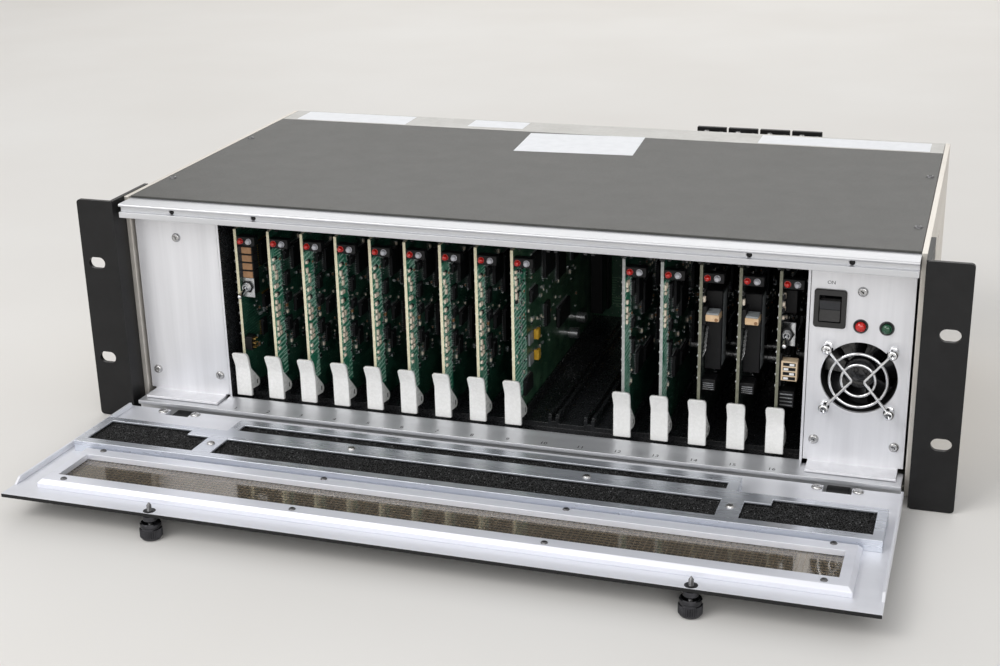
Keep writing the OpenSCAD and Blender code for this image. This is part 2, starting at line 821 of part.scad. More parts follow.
// Square fan housing with round duct, rear struts and motor seat
module fan_frame() {
    duct_r = fan_d / 2 - 0.2;
    hub_r = 8.5;
    strut_w = 2.4;
    strut_t = 2;
    corner = 3;
    color("#121213") stand() translate([fan_x, panel_y + panel_t + fan_t, fan_z]) rotate([90, 0, 0]) {
        difference() {
            linear_extrude(fan_t) round_plate(fan_side, fan_side, corner);
            translate([0, 0, -over]) cylinder(r = duct_r, h = fan_t + 2 * over, $fn = fine);
            for (x = [-1, 1], y = [-1, 1]) translate([x * fan_pitch / 2, y * fan_pitch / 2, -over])
                cylinder(r = shaft_r + 0.3, h = fan_t + 2 * over, $fn = coarse);
        }
        cylinder(r = hub_r, h = strut_t, $fn = fine);
        for (i = [0 : 3]) rotate([0, 0, 45 + i * 90]) translate([hub_r - 1, -strut_w / 2, 0])
            cube([duct_r - hub_r + 1.5, strut_w, strut_t]);
    }
}

// Rotor with hub and tilted blades, spins about the duct's axis
module fan_rotor() {
    hub_r = 8.4;
    hub_l = 13;
    hub_back = 2 + gap;
    tip_r = fan_d / 2 - 0.9;
    blades = 7;
    blade_t = 1.2;
    tilt = 38;
    color("#1b1b1c") stand() translate([fan_x, panel_y + panel_t + fan_t - hub_back, fan_z])
        rotate([90, 0, 0]) {
            cylinder(r = hub_r, h = hub_l, $fn = fine);
            intersection() {
                cylinder(r = tip_r, h = hub_l - 1, $fn = fine);
                for (i = [0 : blades - 1]) rotate([0, 0, i * 360 / blades])
                    translate([hub_r - 1, 0, hub_l / 2]) rotate([tilt, 0, 0])
                        translate([0, -blade_t / 2, -hub_l]) cube([tip_r, blade_t, 2 * hub_l]);
            }
        }
}

// Wire finger guard: two rings, two bent wires and four round head screws
module fan_guard() {
    wire_r = 0.75;
    ring_rs = [8.4, 14.2];
    ring_y = 3.4;
    cross_y = ring_y + 1.3;
    bend_x = 2.9;
    corner = fan_pitch / 2;
    run = sqrt(pow(corner - bend_x, 2) + pow(corner, 2));
    turn = atan2(corner, corner - bend_x);
    ball_r = 3;
    color("#dcdcdc") stand() translate([fan_x, panel_y, fan_z]) rotate([90, 0, 0]) {
        for (r = ring_rs) translate([0, 0, ring_y]) rotate_extrude($fn = fine)
            translate([r, 0]) circle(wire_r, $fn = 16);
        for (s = [0, 1]) mirror([s, 0, 0]) translate([bend_x, 0, cross_y]) {
            sphere(wire_r, $fn = 16);
            for (t = [-1, 1]) rotate([0, 90, t * turn]) cylinder(r = wire_r, h = run, $fn = 16);
        }
        for (x = [-1, 1], y = [-1, 1]) translate([x * corner, y * corner, 0]) {
            cylinder(r = 2.2, h = cross_y, $fn = coarse);
            translate([0, 0, cross_y]) intersection() {
                sphere(ball_r, $fn = coarse);
                translate([0, 0, ball_r / 2]) cube([3 * ball_r, 3 * ball_r, 2 * ball_r], center = true);
            }
        }
    }
}

// Switch bezel, lamp holders with domed lenses and the panel's screws
module psu_fittings() {
    body_d = 14;
    rim = 1.2;
    color("#1a1a1b") stand() {
        difference() {
            union() {
                span([switch_x - switch_w / 2, panel_y - bezel_out, switch_z - switch_h / 2],
                     [switch_x + switch_w / 2, panel_y, switch_z + switch_h / 2]);
                span([switch_x - rocker_w / 2 - over, panel_y - eps, switch_z - rocker_h / 2 - over],
                     [switch_x + rocker_w / 2 + over, panel_y + body_d, switch_z + rocker_h / 2 + over]);
            }
            span([switch_x - rocker_w / 2 - gap, panel_y - 2 * bezel_out, switch_z - rocker_h / 2 - gap],
                 [switch_x + rocker_w / 2 + gap, panel_y + body_d - rim, switch_z + rocker_h / 2 + gap]);
        }
        for (x = [lamp_red_x, lamp_green_x]) translate([x, panel_y, lamp_z]) rotate([90, 0, 0]) {
            cylinder(d1 = lamp_d, d2 = lamp_d - 1.4, h = rim, $fn = coarse);
            translate([0, 0, rim]) intersection() {
                translate([0, 0, -0.8]) sphere(2.7, $fn = coarse);
                cylinder(r = 2.6, h = 2.6, $fn = coarse);
            }
        }
        for (s = panel_screws) translate([module_x + s[0], panel_y, s[1]]) rotate([90, 0, 0]) screw();
    }
}

// Rocker with two slanted faces, pivots about X
module rocker() {
    tilt = 6;
    crown = 3.4;
    sink = 2;
    half = rocker_h / 2;
    color("#151516") stand() translate([switch_x - rocker_w / 2, rocker_pivot_y, switch_z])
        rotate([90, 0, 90]) rotate([0, 0, tilt]) linear_extrude(rocker_w)
            polygon([[-crown - sink, half - 1], [-crown, 0], [-crown - sink, -half + 1],
                     [sink, -half + 3], [sink, half - 3]]);
}

// Pieces of the cards

// Toggle switch lever, pivots about X at its bushing
toggle_y = 22;
toggle_z = 78;
toggle_x = 4.6;
toggle_sink = 2;
module toggle_lever(n) {
    droop = 17;
    lever_l = 9;
    color("#c9c9cb") stand() translate([board_x(n) + toggle_x, toggle_y + toggle_sink, toggle_z])
        rotate([90 + droop, 0, 0]) {
            sphere(1.2, $fn = 16);
            cylinder(r1 = 0.8, r2 = 1.3, h = lever_l, $fn = 16);
            translate([0, 0, lever_l]) sphere(1.3, $fn = 16);
        }
}
module toggle_1() { toggle_lever(1); }
module toggle_16() { toggle_lever(16); }

// Block on the right face of a board: y and z are from the ear front and table
module chip(y, z, l, h, t) { translate([board_t - eps, y, z]) cube([t + eps, l, h]); }

// Bare board with ejector hole, cut lower corner and rear plug
module board() {
    nose_y = 4;
    nose_z = 3.2;
    back = board_front + board_l;
    plug_z0 = 21;
    plug_z1 = 105;
    plug_w = 8;
    difference() {
        rotate([90, 0, 90]) linear_extrude(board_t)
            polygon([[board_front, board_z + nose_z], [board_front + nose_y, board_z],
                     [back, board_z], [back, board_z + board_h], [board_front, board_z + board_h]]);
        translate([0, eject_y, eject_z]) rotate([0, 90, 0])
            cylinder(r = eject_hole_r, h = 4 * board_t, center = true, $fn = coarse);
    }
    span([board_t - eps, back - 4, plug_z0], [board_t + plug_w, back - 4 + plug_d, plug_z1]);
}

// Lamp pair in its black holder at the top front of every card
module lamp_pair() {
    holder_z = 103.2;
    holder_h = 5.4;
    holder_l = 5;
    holder_w = 11;
    span([board_t - eps, board_front, holder_z], [board_t + holder_w, board_front + holder_l, holder_z + holder_h]);
    for (x = [4, 9]) translate([x, board_front, holder_z + holder_h / 2]) rotate([90, 0, 0]) {
        cylinder(r = 1.5, h = 1, $fn = coarse);
        translate([0, 0, 1]) sphere(1.5, $fn = coarse);
    }
}

// Parts that every card carries, as [y, z, length, height, thickness]
common_chips = [[44, 78, 14, 14, 2.2], [44, 44, 18, 18, 2.4], [72, 74, 22, 22, 2.4],
                [72, 34, 12, 20, 2.2], [104, 70, 16, 16, 2], [104, 30, 24, 24, 9],
                [140, 76, 12, 18, 2.2], [140, 34, 16, 12, 2.2]];
// Front column of small surface parts
column_parts = 9;
column_z = 44;
column_step = 6.2;
module front_column() {
    for (i = [0 : column_parts - 1])
        chip(board_front + 1.4, column_z + i * column_step, 2.4, 3.4, 1.4);
}

// Toggle switch body with its bracket
module toggle_body() {
    body_l = 11;
    bush_r = 2.6;
    difference() {
        union() {
            span([board_t - eps, toggle_y + 2.5, toggle_z - 5], [board_t + 7, toggle_y + body_l, toggle_z + 5]);
            translate([toggle_x, toggle_y + 2.5 + eps, toggle_z]) rotate([90, 0, 0])
                cylinder(r = bush_r, h = 3, $fn = coarse);
        }
        translate([toggle_x, toggle_y + toggle_sink, toggle_z]) rotate([90, 0, 0]) {
            translate([0, 0, -1.6]) cylinder(r = 2, h = 8, $fn = coarse);
        }
    }
}

// Displays, option block and capacitors of particular cards
module card_extras(n) {
    display_z = 84.4;
    display_step = 4.75;
    if (n == 1) {
        for (i = [0 : 3])
            span([board_t - eps, board_front - 0.5, display_z + i * display_step],
                 [board_t + 9, board_front + 7, display_z + i * display_step + 4]);
        toggle_body();
        chip(board_front, 40.5, 6, 8, 7);
    } else if (n == 9) {
        chip(board_front + 6, 72, 7, 4, 3.2);
        chip(board_front + 6, 62, 7, 4, 3.2);
        chip(board_front + 5, 50, 12, 8, 2.6);
        front_column();
    } else if (n == 14 || n == 15) {
        span([board_t + 2, board_front - 1, 82.6], [board_t + 9, board_front + 8, 87.2]);
        span([board_t - eps, board_front + 1, 80], [board_t + 2.2, board_front + 10, 90]);
        span([board_t - eps, board_front + 10, 52], [board_t + 9, board_front + 24, 96]);
    } else if (n == 16) {
        toggle_body();
        span([board_t + 1, board_front - 1, 53.7], [board_t + 9.4, board_front + 6, 64.4]);
        span([board_t - eps, board_front + 1, 50], [board_t + 1.2, board_front + 8, 68]);
        chip(board_front + 2, 38, 8, 9, 8);
    } else {
        front_column();
    }
}

// One card: board, plug, lamps and its parts
module card(n) {
    color(n == 14 || n == 15 ? "#2c3330" : "#2d7a5c") stand() translate([board_x(n), 0, 0]) {
        board();
        lamp_pair();
        card_extras(n);
        for (c = common_chips) chip(c[0], c[1], c[2], c[3], c[4]);
    }
}

// One white ejector lever: flared plate, two cheeks and its pivot pin
module ejector(n) {
    flare = 2.6;
    tab_r = 3;
    waist_in = 1.2;
    y0 = eject_front;
    y1 = eject_front + eject_t;
    apex_y = 28.6;
    apex_low = 17.2;
    apex_high = 20.6;
    color("#eceae4") stand() translate([board_x(n) - eject_left, 0, 0]) {
        intersection() {
            rotate([90, 0, 90]) linear_extrude(eject_w)
                polygon([[y0, eject_low], [y1, eject_low], [y1, eject_waist],
                         [y1 - flare, eject_top], [y0 - flare, eject_top], [y0, eject_waist - 2]]);
            translate([eject_w / 2, 0, 0]) rotate([90, 0, 0]) linear_extrude(2 * y1, center = true) {
                polygon([[-eject_w / 2, eject_low], [eject_w / 2, eject_low],
                         [eject_w / 2, eject_waist - 3], [eject_w / 2 - waist_in, eject_waist],
                         [eject_w / 2, eject_waist + 2], [eject_w / 2, eject_top - tab_r],
                         [-eject_w / 2, eject_top - tab_r], [-eject_w / 2, eject_waist + 2],
                         [-eject_w / 2 + waist_in, eject_waist], [-eject_w / 2, eject_waist - 3]]);
                translate([-eject_w / 2 + tab_r, eject_top - tab_r - eps])
                    square([eject_w - 2 * tab_r, tab_r + eps]);
                for (x = [-1, 1]) translate([x * (eject_w / 2 - tab_r), eject_top - tab_r])
                    circle(tab_r, $fn = coarse);
            }
        }
        for (x = [0, eject_w - cheek_t]) translate([x, 0, 0]) rotate([90, 0, 90]) linear_extrude(cheek_t)
            polygon([[y1 - eps, eject_low + 4], [apex_y - 2, apex_low], [apex_y, apex_low + 1.4],
                     [apex_y, apex_high], [y1 - eps, cheek_top]]);
        translate([eps, eject_y, eject_z]) rotate([0, 90, 0])
            cylinder(r = eject_pin_r, h = eject_w - 2 * eps, $fn = coarse);
    }
}

side_plates();
top_cover();
base_plate();
rack_ears();
front_rails();
rear_panel();
card_guides();
midplane();
bay_dividers();
blank_panel();
chassis_screws();
bnc_connectors();
terminal_blocks();
power_inlets();
hinge_blocks();
door_skin();
filter_tray();
filter_foam();
window_bezel();
window_pane();
door_screws();
thumbscrew_left();
thumbscrew_right();
psu_case();
psu_panel();
fan_frame();
fan_guard();
psu_fittings();
fan_rotor();
rocker();
toggle_1();
toggle_16();
for (n = CARDS) card(n);
for (n = CARDS) ejector(n);
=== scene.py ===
"""Looks of a modular card frame for video distribution, three rack units high, with its door open.

Lengths are in millimetres in two working frames, BODY (ear fronts at y = 0, y going back) and DOOR (x across, -y away
from the hinge edge, z off the inner skin). Each piece is turned to metres in the row frame when it is made.
"""
import math
import random
from itertools import product

import bmesh
import bpy
from mathutils import Matrix, Vector
from mathutils.geometry import tessellate_polygon


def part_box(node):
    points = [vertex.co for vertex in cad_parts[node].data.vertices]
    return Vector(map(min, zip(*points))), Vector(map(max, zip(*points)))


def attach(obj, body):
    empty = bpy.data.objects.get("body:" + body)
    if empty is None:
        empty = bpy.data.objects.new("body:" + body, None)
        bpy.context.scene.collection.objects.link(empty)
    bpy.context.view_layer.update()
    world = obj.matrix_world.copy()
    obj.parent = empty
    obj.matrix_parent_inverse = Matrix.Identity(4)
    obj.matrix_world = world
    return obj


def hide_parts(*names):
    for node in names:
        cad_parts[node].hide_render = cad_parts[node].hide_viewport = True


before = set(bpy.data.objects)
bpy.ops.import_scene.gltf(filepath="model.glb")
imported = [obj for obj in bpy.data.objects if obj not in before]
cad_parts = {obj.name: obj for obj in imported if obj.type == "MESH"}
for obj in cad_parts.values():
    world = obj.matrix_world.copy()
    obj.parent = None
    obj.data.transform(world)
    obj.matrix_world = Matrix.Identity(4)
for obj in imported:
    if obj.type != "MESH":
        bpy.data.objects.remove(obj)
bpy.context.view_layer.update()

MM = 0.001
EAR_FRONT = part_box("rack_ears")[0].y
DOOR_SEAT = 9.7
DOOR_SLOPE = math.radians(2.15)
BODY = Matrix.Translation((0, EAR_FRONT, 0)) @ Matrix.Scale(MM, 4)
DOOR = BODY @ Matrix.Translation((0, 0, DOOR_SEAT)) @ Matrix.Rotation(-DOOR_SLOPE, 4, "X")
UP, OUT, BACK, RIGHT = (0, 0, 1), (0, -1, 0), (0, 1, 0), (1, 0, 0)

SLOTS, PITCH, BOARD = 16, 20.32, 1.6
CARDS = [1, 2, 3, 4, 5, 6, 7, 8, 9, 12, 13, 14, 15, 16]
COVER_TOP, REAR, PANEL_Y, MODULE_X = 130.2, 241, 15.3, 189.4
KNOB_X, KNOB_U = 134.5, 129.05
FAN_X, FAN_Z, GUARD_REACH = 190, 61.75, 16
PIVOT_Y, PIVOT_Z = 25.2, 20.3
CREASE = 38
SWITCH_X, SWITCH_Z = 174, 97.6


def slot_x(n):
    """Left side of a slot."""
    return -SLOTS * PITCH / 2 + (n - 1) * PITCH


def board_x(n):
    """Solder side of the board in a slot."""
    return slot_x(n) + 5.4


def put(name, data):
    """A new object in the scene."""
    thing = bpy.data.objects.new(name, data)
    bpy.context.scene.collection.objects.link(thing)
    return thing


# Camera, light and floor

def make_camera():
    """The photograph's camera, as it was fitted to the rack standard's sizes."""
    turn, dip, roll = math.radians(18.21), math.radians(20.50), math.radians(-1.26)
    ahead = Vector((-math.sin(turn) * math.cos(dip), math.cos(turn) * math.cos(dip), -math.sin(dip)))
    flat = Vector((math.cos(turn), math.sin(turn), 0))
    right = flat * math.cos(roll) + flat.cross(ahead) * math.sin(roll)
    up = right.cross(ahead)
    data = bpy.data.cameras.new("camera")
    data.lens, data.sensor_width = 55.91, 36
    camera = put("camera", data)
    camera.matrix_world = Matrix(((right.x, up.x, -ahead.x, 0.24465), (right.y, up.y, -ahead.y, -0.78511),
                                  (right.z, up.z, -ahead.z, 0.35944), (0, 0, 0, 1)))
    bpy.context.scene.camera = camera


def tone(red, green, blue):
    """A colour from 0 to 255, as the shader's own values."""
    def linear(v):
        v = v / 255
        return v / 12.92 if v <= 0.04045 else ((v + 0.055) / 1.055) ** 2.4
    return (linear(red), linear(green), linear(blue), 1)


def wired(tree, kind, wires=None, **settings):
    """Adds one node. Wires lead from sockets, by name or number, to values, other sockets or lists of these."""
    made = tree.nodes.new(kind)
    for name, value in settings.items():
        setattr(made, name, value)
    for socket, value in (wires or {}).items():
        for one in value if isinstance(value, list) else [value]:
            if isinstance(one, bpy.types.NodeSocket):
                tree.links.new(one, made.inputs[socket])
            else:
                made.inputs[socket].default_value = one
    return made


def math_node(tree, kind, a, b=0.0):
    return wired(tree, "ShaderNodeMath", {0: a, 1: b}, operation=kind).outputs[0]


def product_node(tree, a, b):
    return math_node(tree, "MULTIPLY", a, b)


def coordinates(tree):
    """The shaded point's place on its own object."""
    return wired(tree, "ShaderNodeTexCoord").outputs["Object"]


def ramp(tree, factor, *stops):
    """A colour from a factor, over stops of a place and a colour."""
    made = wired(tree, "ShaderNodeValToRGB", {0: factor})
    band = made.color_ramp.elements
    while len(band) < len(stops):
        band.new(0.5)
    for element, (place, colour) in zip(band, stops):
        element.position, element.color = place, tone(*colour)
    return made.outputs[0]


def make_light():
    """A pale studio that is brighter where it is seen than where it lights, and three soft panels."""
    world = bpy.data.worlds.new("studio")
    world.use_nodes = True
    tree = world.node_tree
    tree.nodes.clear()
    path = wired(tree, "ShaderNodeLightPath")
    seen = path.outputs["Is Camera Ray"]
    for kind in ("Is Transmission Ray", "Is Glossy Ray"):
        seen = math_node(tree, "MAXIMUM", seen, path.outputs[kind])
    wall = wired(tree, "ShaderNodeBackground", {"Color": tone(244, 241, 237), "Strength": 1})
    fill = wired(tree, "ShaderNodeBackground", {"Color": tone(240, 243, 248), "Strength": 0.62})
    both = wired(tree, "ShaderNodeMixShader", {0: seen, 1: fill.outputs[0], 2: wall.outputs[0]})
    wired(tree, "ShaderNodeOutputWorld", {0: both.outputs[0]})
    bpy.context.scene.world = world
    for name, place, aim, size, power in (("key_panel", (-0.9, -1.3, 1.5), (0, 0, 0.05), (1.2, 1.0), 17),
                                          ("front_panel", (0.7, -1.7, 0.75), (0, 0, 0.06), (1.4, 0.7), 9),
                                          ("back_panel", (-0.2, 1.9, 1.3), (0, 0, 0.1), (2.4, 1.0), 14)):
        data = bpy.data.lights.new(name, "AREA")
        data.shape, data.size, data.size_y, data.energy = "RECTANGLE", *size, power
        lamp = put(name, data)
        lamp.location = place
        lamp.rotation_euler = (Vector(aim) - Vector(place)).to_track_quat("-Z", "Y").to_euler()


def make_floor():
    """A pale floor that curves up into a wall far behind."""
    finish = bpy.data.materials.new("studio_floor")
    finish.use_nodes = True
    tree = finish.node_tree
    body = tree.nodes["Principled BSDF"]
    place = coordinates(tree)
    grain = wired(tree, "ShaderNodeTexNoise", {"Vector": place, "Scale": 3, "Detail": 3})
    tree.links.new(ramp(tree, grain.outputs[0], (0.3, (226, 222, 216)), (0.7, (232, 229, 224))),
                   body.inputs["Base Color"])
    body.inputs["Roughness"].default_value = 0.75
    mesh = bpy.data.meshes.new("floor")
    steps, far, curve, wall, half = 14, 2.6, 0.8, 3.0, 4.5
    rows = [(-3.0, 0.0), (far - curve, 0.0)]
    rows += [(far - curve + curve * math.sin(a), curve - curve * math.cos(a))
             for a in (math.pi / 2 * i / steps for i in range(1, steps + 1))]
    rows.append((far, wall))
    points = [(x, y, z) for y, z in rows for x in (-half, half)]
    mesh.from_pydata(points, [], [(2 * i, 2 * i + 1, 2 * i + 3, 2 * i + 2) for i in range(len(rows) - 1)])
    mesh.materials.append(finish)
    for face in mesh.polygons:
        face.use_smooth = True
    put("floor", mesh)


bpy.context.scene.view_settings.view_transform = "Standard"
make_camera()
make_light()
make_floor()


# Finishes

def surface(name, dark, light, grain=180, rough=(0.4, 0.5), metal=0.0, stretch=(1, 1, 1), bump=0.05,
            fine=None, coat=0.0, level=0.5):
    """A finish whose colour, gloss and small relief all vary with a grain on object coordinates."""
    made = bpy.data.materials.new(name)
    made.use_nodes = True
    tree = made.node_tree
    body = tree.nodes["Principled BSDF"]
    place = coordinates(tree)
    spread = wired(tree, "ShaderNodeMapping", {"Vector": place, "Scale": stretch}).outputs[0]
    coarse = wired(tree, "ShaderNodeTexNoise", {"Vector": spread, "Scale": grain, "Detail": 5, "Roughness": 0.6})
    small = wired(tree, "ShaderNodeTexNoise", {"Vector": spread, "Scale": fine or grain * 6, "Detail": 3}).outputs[0]
    tree.links.new(ramp(tree, coarse.outputs[0], (0.32, dark), (0.68, light)), body.inputs["Base Color"])
    gloss = wired(tree, "ShaderNodeMapRange", {"Value": small, 1: 0.3, 2: 0.7, 3: rough[0], 4: rough[1]})
    tree.links.new(gloss.outputs[0], body.inputs["Roughness"])
    relief = wired(tree, "ShaderNodeBump", {"Height": small, "Strength": bump, "Distance": 0.0004})
    tree.links.new(relief.outputs[0], body.inputs["Normal"])
    for socket, value in (("Metallic", metal), ("Coat Weight", coat), ("Specular IOR Level", level)):
        body.inputs[socket].default_value = value
    return made


def glass(name, colour, rough, passing, clear=1.45, coat=0.0):
    """A tinted clear finish: how much light passes is one plain value."""
    made = surface(name, colour, colour, 200, (rough, rough + 0.04), bump=0.01, coat=coat)
    body = made.node_tree.nodes["Principled BSDF"]
    body.inputs["Transmission Weight"].default_value = passing
    body.inputs["IOR"].default_value = clear
    return made


COVER = surface("cover_satin_paint", (62, 62, 59), (72, 72, 69), 60, (0.36, 0.46), bump=0.12, fine=2600, level=0.3)
EAR = surface("ear_black_paint", (18, 18, 19), (25, 25, 26), 90, (0.36, 0.48), bump=0.14, fine=2200, level=0.3)
SIDE = surface("side_plate_metal", (212, 206, 197), (224, 219, 211), 40, (0.38, 0.5), 0.55, (1, 0.08, 1))
RAIL = surface("drawn_rail_metal", (196, 197, 200), (214, 215, 218), 55, (0.3, 0.42), 0.6, (0.05, 1, 1))
PANEL = surface("brushed_panel_metal", (222, 222, 225), (234, 234, 237), 160, (0.3, 0.42), 0.4, (1, 1, 0.04), 0.09)
SKIN = surface("door_skin_metal", (224, 225, 230), (236, 237, 242), 30, (0.34, 0.46), 0.35, (0.06, 1, 1))
TRAY = surface("tray_sheet_metal", (200, 204, 212), (216, 220, 228), 34, (0.22, 0.34), 0.7, (0.1, 1, 1))
BEZEL = surface("bezel_bright_metal", (226, 227, 234), (238, 239, 246), 46, (0.3, 0.4), 0.3, (0.05, 1, 1))
PLATED = surface("plated_sheet_metal", (176, 175, 171), (192, 191, 188), 50, (0.34, 0.46), 0.6)
CASE = surface("module_case_metal", (150, 151, 150), (178, 178, 177), 70, (0.35, 0.5), 0.7)
BLACK = surface("moulded_black_plastic", (15, 15, 16), (22, 22, 23), 200, (0.36, 0.48), bump=0.1, level=0.25)
GUIDE = surface("guide_black_plastic", (28, 29, 30), (40, 41, 43), 120, (0.22, 0.34), bump=0.06)
GLOSS = surface("glossy_black_plastic", (16, 16, 17), (22, 22, 24), 120, (0.16, 0.24), bump=0.04, coat=0.3)
STEEL = surface("screw_bright_steel", (168, 168, 168), (196, 196, 197), 300, (0.2, 0.32), 0.95)
DARK_STEEL = surface("screw_dark_steel", (92, 92, 94), (124, 124, 126), 300, (0.26, 0.4), 0.9)
CHROME = surface("guard_chrome_wire", (214, 215, 217), (228, 229, 231), 300, (0.08, 0.16), 1.0, bump=0.02)
NICKEL = surface("thumb_black_nickel", (58, 58, 61), (80, 80, 84), 200, (0.14, 0.24), 0.85)
NYLON = surface("ejector_white_nylon", (236, 235, 231), (243, 242, 239), 90, (0.22, 0.32), bump=0.02, coat=0.25)
LABEL = surface("blank_white_label", (232, 233, 235), (240, 241, 243), 160, (0.42, 0.52), bump=0.03)
INK = surface("printed_dark_ink", (24, 24, 26), (34, 34, 36), 400, (0.5, 0.6))
EPOXY = surface("chip_black_epoxy", (24, 24, 25), (34, 34, 36), 300, (0.42, 0.56), bump=0.14, fine=5000, level=0.25)
TIN = surface("solder_tin", (182, 184, 186), (206, 207, 208), 500, (0.22, 0.36), 0.9)
GOLD = surface("contact_gold", (186, 150, 84), (212, 178, 108), 500, (0.22, 0.34), 0.9)
CREAM = surface("ceramic_cream", (222, 204, 182), (240, 228, 210), 400, (0.42, 0.55))
TAN = surface("display_tan_face", (132, 96, 64), (156, 116, 80), 300, (0.3, 0.42))
AMBER = surface("tantalum_yellow", (206, 158, 42), (224, 178, 62), 350, (0.34, 0.46))
EDGE = surface("board_cream_edge", (212, 204, 170), (236, 230, 202), 700, (0.5, 0.62), bump=0.2)
GREY_EDGE = surface("board_grey_edge", (150, 152, 148), (184, 186, 182), 700, (0.5, 0.62), bump=0.2)
DARK_EDGE = surface("board_dull_edge", (104, 104, 88), (132, 132, 114), 700, (0.5, 0.62), bump=0.2)
GREY_PART = surface("part_grey_resin", (132, 136, 138), (156, 160, 161), 300, (0.4, 0.52))
PEACH = surface("part_peach_moulding", (206, 172, 132), (222, 192, 156), 240, (0.36, 0.48))
BEIGE = surface("switch_block_beige", (214, 188, 154), (230, 208, 178), 240, (0.34, 0.46))
WIRE = surface("window_wire_metal", (112, 97, 75), (136, 120, 96), 400, (0.3, 0.45), 0.2)
CAN = surface("capacitor_can", (178, 179, 180), (198, 199, 200), 260, (0.24, 0.36), 0.85)
RED_LENS = glass("lamp_red_lens", (216, 30, 22), 0.08, 0.25, coat=0.6)
GREEN_LENS = glass("lamp_green_lens", (34, 92, 62), 0.08, 0.3, coat=0.6)
CLEAR_LENS = glass("lamp_clear_lens", (226, 226, 232), 0.08, 0.35, coat=0.5)
PANE = glass("window_front_pane", (236, 228, 214), 0.02, 0.94, 1.49)
# A dark smoked glass under the window wire: painted shade, standing in for the shade under the open door.
SHADE_PANE = glass("window_painted_shade_pane", (12, 10, 7), 0.4, 0.1, 1.2)


def mixed(tree, share, base, over):
    """One colour laid over another, by a share from 0 to 1."""
    return wired(tree, "ShaderNodeMix", {0: share, 6: base, 7: over}, data_type="RGBA").outputs[2]


def circuit(name, dark, light, trace, vias, slanted=0.52, spacing=0.0019, slope=1.0):
    """A circuit board's face: solder mask with slanted and straight copper lines, bundled in patches, and vias."""
    made = surface(name, dark, light, 120, (0.26, 0.4), bump=0.06, coat=0.2)
    tree = made.node_tree
    base = tree.nodes["Principled BSDF"].inputs["Base Color"]
    place = coordinates(tree)
    axes = wired(tree, "ShaderNodeSeparateXYZ", {0: place}).outputs
    patch = wired(tree, "ShaderNodeTexVoronoi", {"Vector": place, "Scale": 120}, feature="F1")
    choice = wired(tree, "ShaderNodeSeparateColor", {0: patch.outputs["Color"]}).outputs
    slant = math_node(tree, "SUBTRACT", axes[2], product_node(tree, axes[1], slope))
    lines = None
    for value, pitch, share, number, rare in ((slant, spacing, 0.36, 0, slanted), (axes[2], 0.0017, 0.26, 1, 0.62),
                                              (axes[1], 0.0023, 0.24, 2, 0.72)):
        wave = math_node(tree, "FRACT", math_node(tree, "DIVIDE", value, pitch))
        bundle = product_node(tree, math_node(tree, "LESS_THAN", wave, share),
                              math_node(tree, "GREATER_THAN", choice[number], rare))
        lines = math_node(tree, "MAXIMUM", lines, bundle) if lines else bundle
    dots = wired(tree, "ShaderNodeTexVoronoi", {"Vector": place, "Scale": vias}, feature="F1")
    via = math_node(tree, "LESS_THAN", dots.outputs["Distance"], 0.13)
    lined = mixed(tree, product_node(tree, lines, 0.92), base.links[0].from_socket, tone(*trace))
    tree.links.new(mixed(tree, product_node(tree, via, 0.75), lined, tone(190, 200, 184)), base)
    return made


TEAL = circuit("board_teal_mask", (14, 50, 39), (21, 62, 49), (58, 104, 84), 520)
# A lit copy of the teal mask for the board's front strip: painted light where light reaches into the cage, against the
# darker TEAL further in. Its slanted traces are the board's own.
LIT_BOARD_FRONT = circuit("board_front_lit_mask", (40, 128, 98), (58, 156, 122), (204, 246, 226), 520, 0.3, 0.0028, 0.12)
GREEN = circuit("board_green_mask", (34, 68, 50), (46, 84, 62), (92, 128, 98), 550, 0.85)
NIGHT = circuit("board_black_mask", (14, 18, 17), (22, 27, 26), (60, 68, 65), 580)


def foam_finish():
    """Open-cell foam: black struts with tiny bright painted glints, between deep pores darkened with painted shade."""
    made = surface("filter_foam_cells", (10, 10, 10), (24, 24, 24), 900, (0.5, 0.8), bump=0.0, level=0.1)
    tree = made.node_tree
    body = tree.nodes["Principled BSDF"]
    place = coordinates(tree)
    cell = wired(tree, "ShaderNodeTexVoronoi", {"Vector": place, "Scale": 760}, feature="DISTANCE_TO_EDGE").outputs[0]
    spot = wired(tree, "ShaderNodeTexVoronoi", {"Vector": place, "Scale": 1100}, feature="F1").outputs
    glint = wired(tree, "ShaderNodeSeparateColor", {0: spot["Color"]}).outputs[0]
    # Darker from the cell edges towards the cell centres: painted shade in the pores.
    struts_and_pore_shade = ramp(tree, cell, (0.0, (92, 92, 92)), (0.06, (34, 34, 34)), (0.13, (10, 10, 10)), (0.4, (3, 3, 3)))
    # Rare bright spots laid into the colour: painted glints.
    rare = product_node(tree, math_node(tree, "GREATER_THAN", glint, 0.9),
                        math_node(tree, "LESS_THAN", spot["Distance"], 0.26))
    tree.links.new(mixed(tree, rare, struts_and_pore_shade, tone(150, 150, 150)), body.inputs["Base Color"])
    relief = wired(tree, "ShaderNodeBump", {"Height": cell, "Strength": 0.9, "Distance": 0.0012}, invert=True)
    tree.links.new(relief.outputs[0], body.inputs["Normal"])
    return made


FOAM = foam_finish()


# Making and settling pieces

def settle(piece, body, slot, *nodes):
    """Puts a finished piece on its body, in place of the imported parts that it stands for."""
    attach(piece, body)
    if nodes:
        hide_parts(*nodes)
    return piece


def evaluated(piece):
    """A piece as its modifiers leave it."""
    bpy.context.view_layer.update()
    return piece.evaluated_get(bpy.context.evaluated_depsgraph_get())


def flattened(piece):
    """Applies a piece's modifiers to a plain mesh."""
    mesh = bpy.data.meshes.new_from_object(evaluated(piece), preserve_all_data_layers=True,
                                           depsgraph=bpy.context.evaluated_depsgraph_get())
    piece.modifiers.clear()
    piece.data = mesh


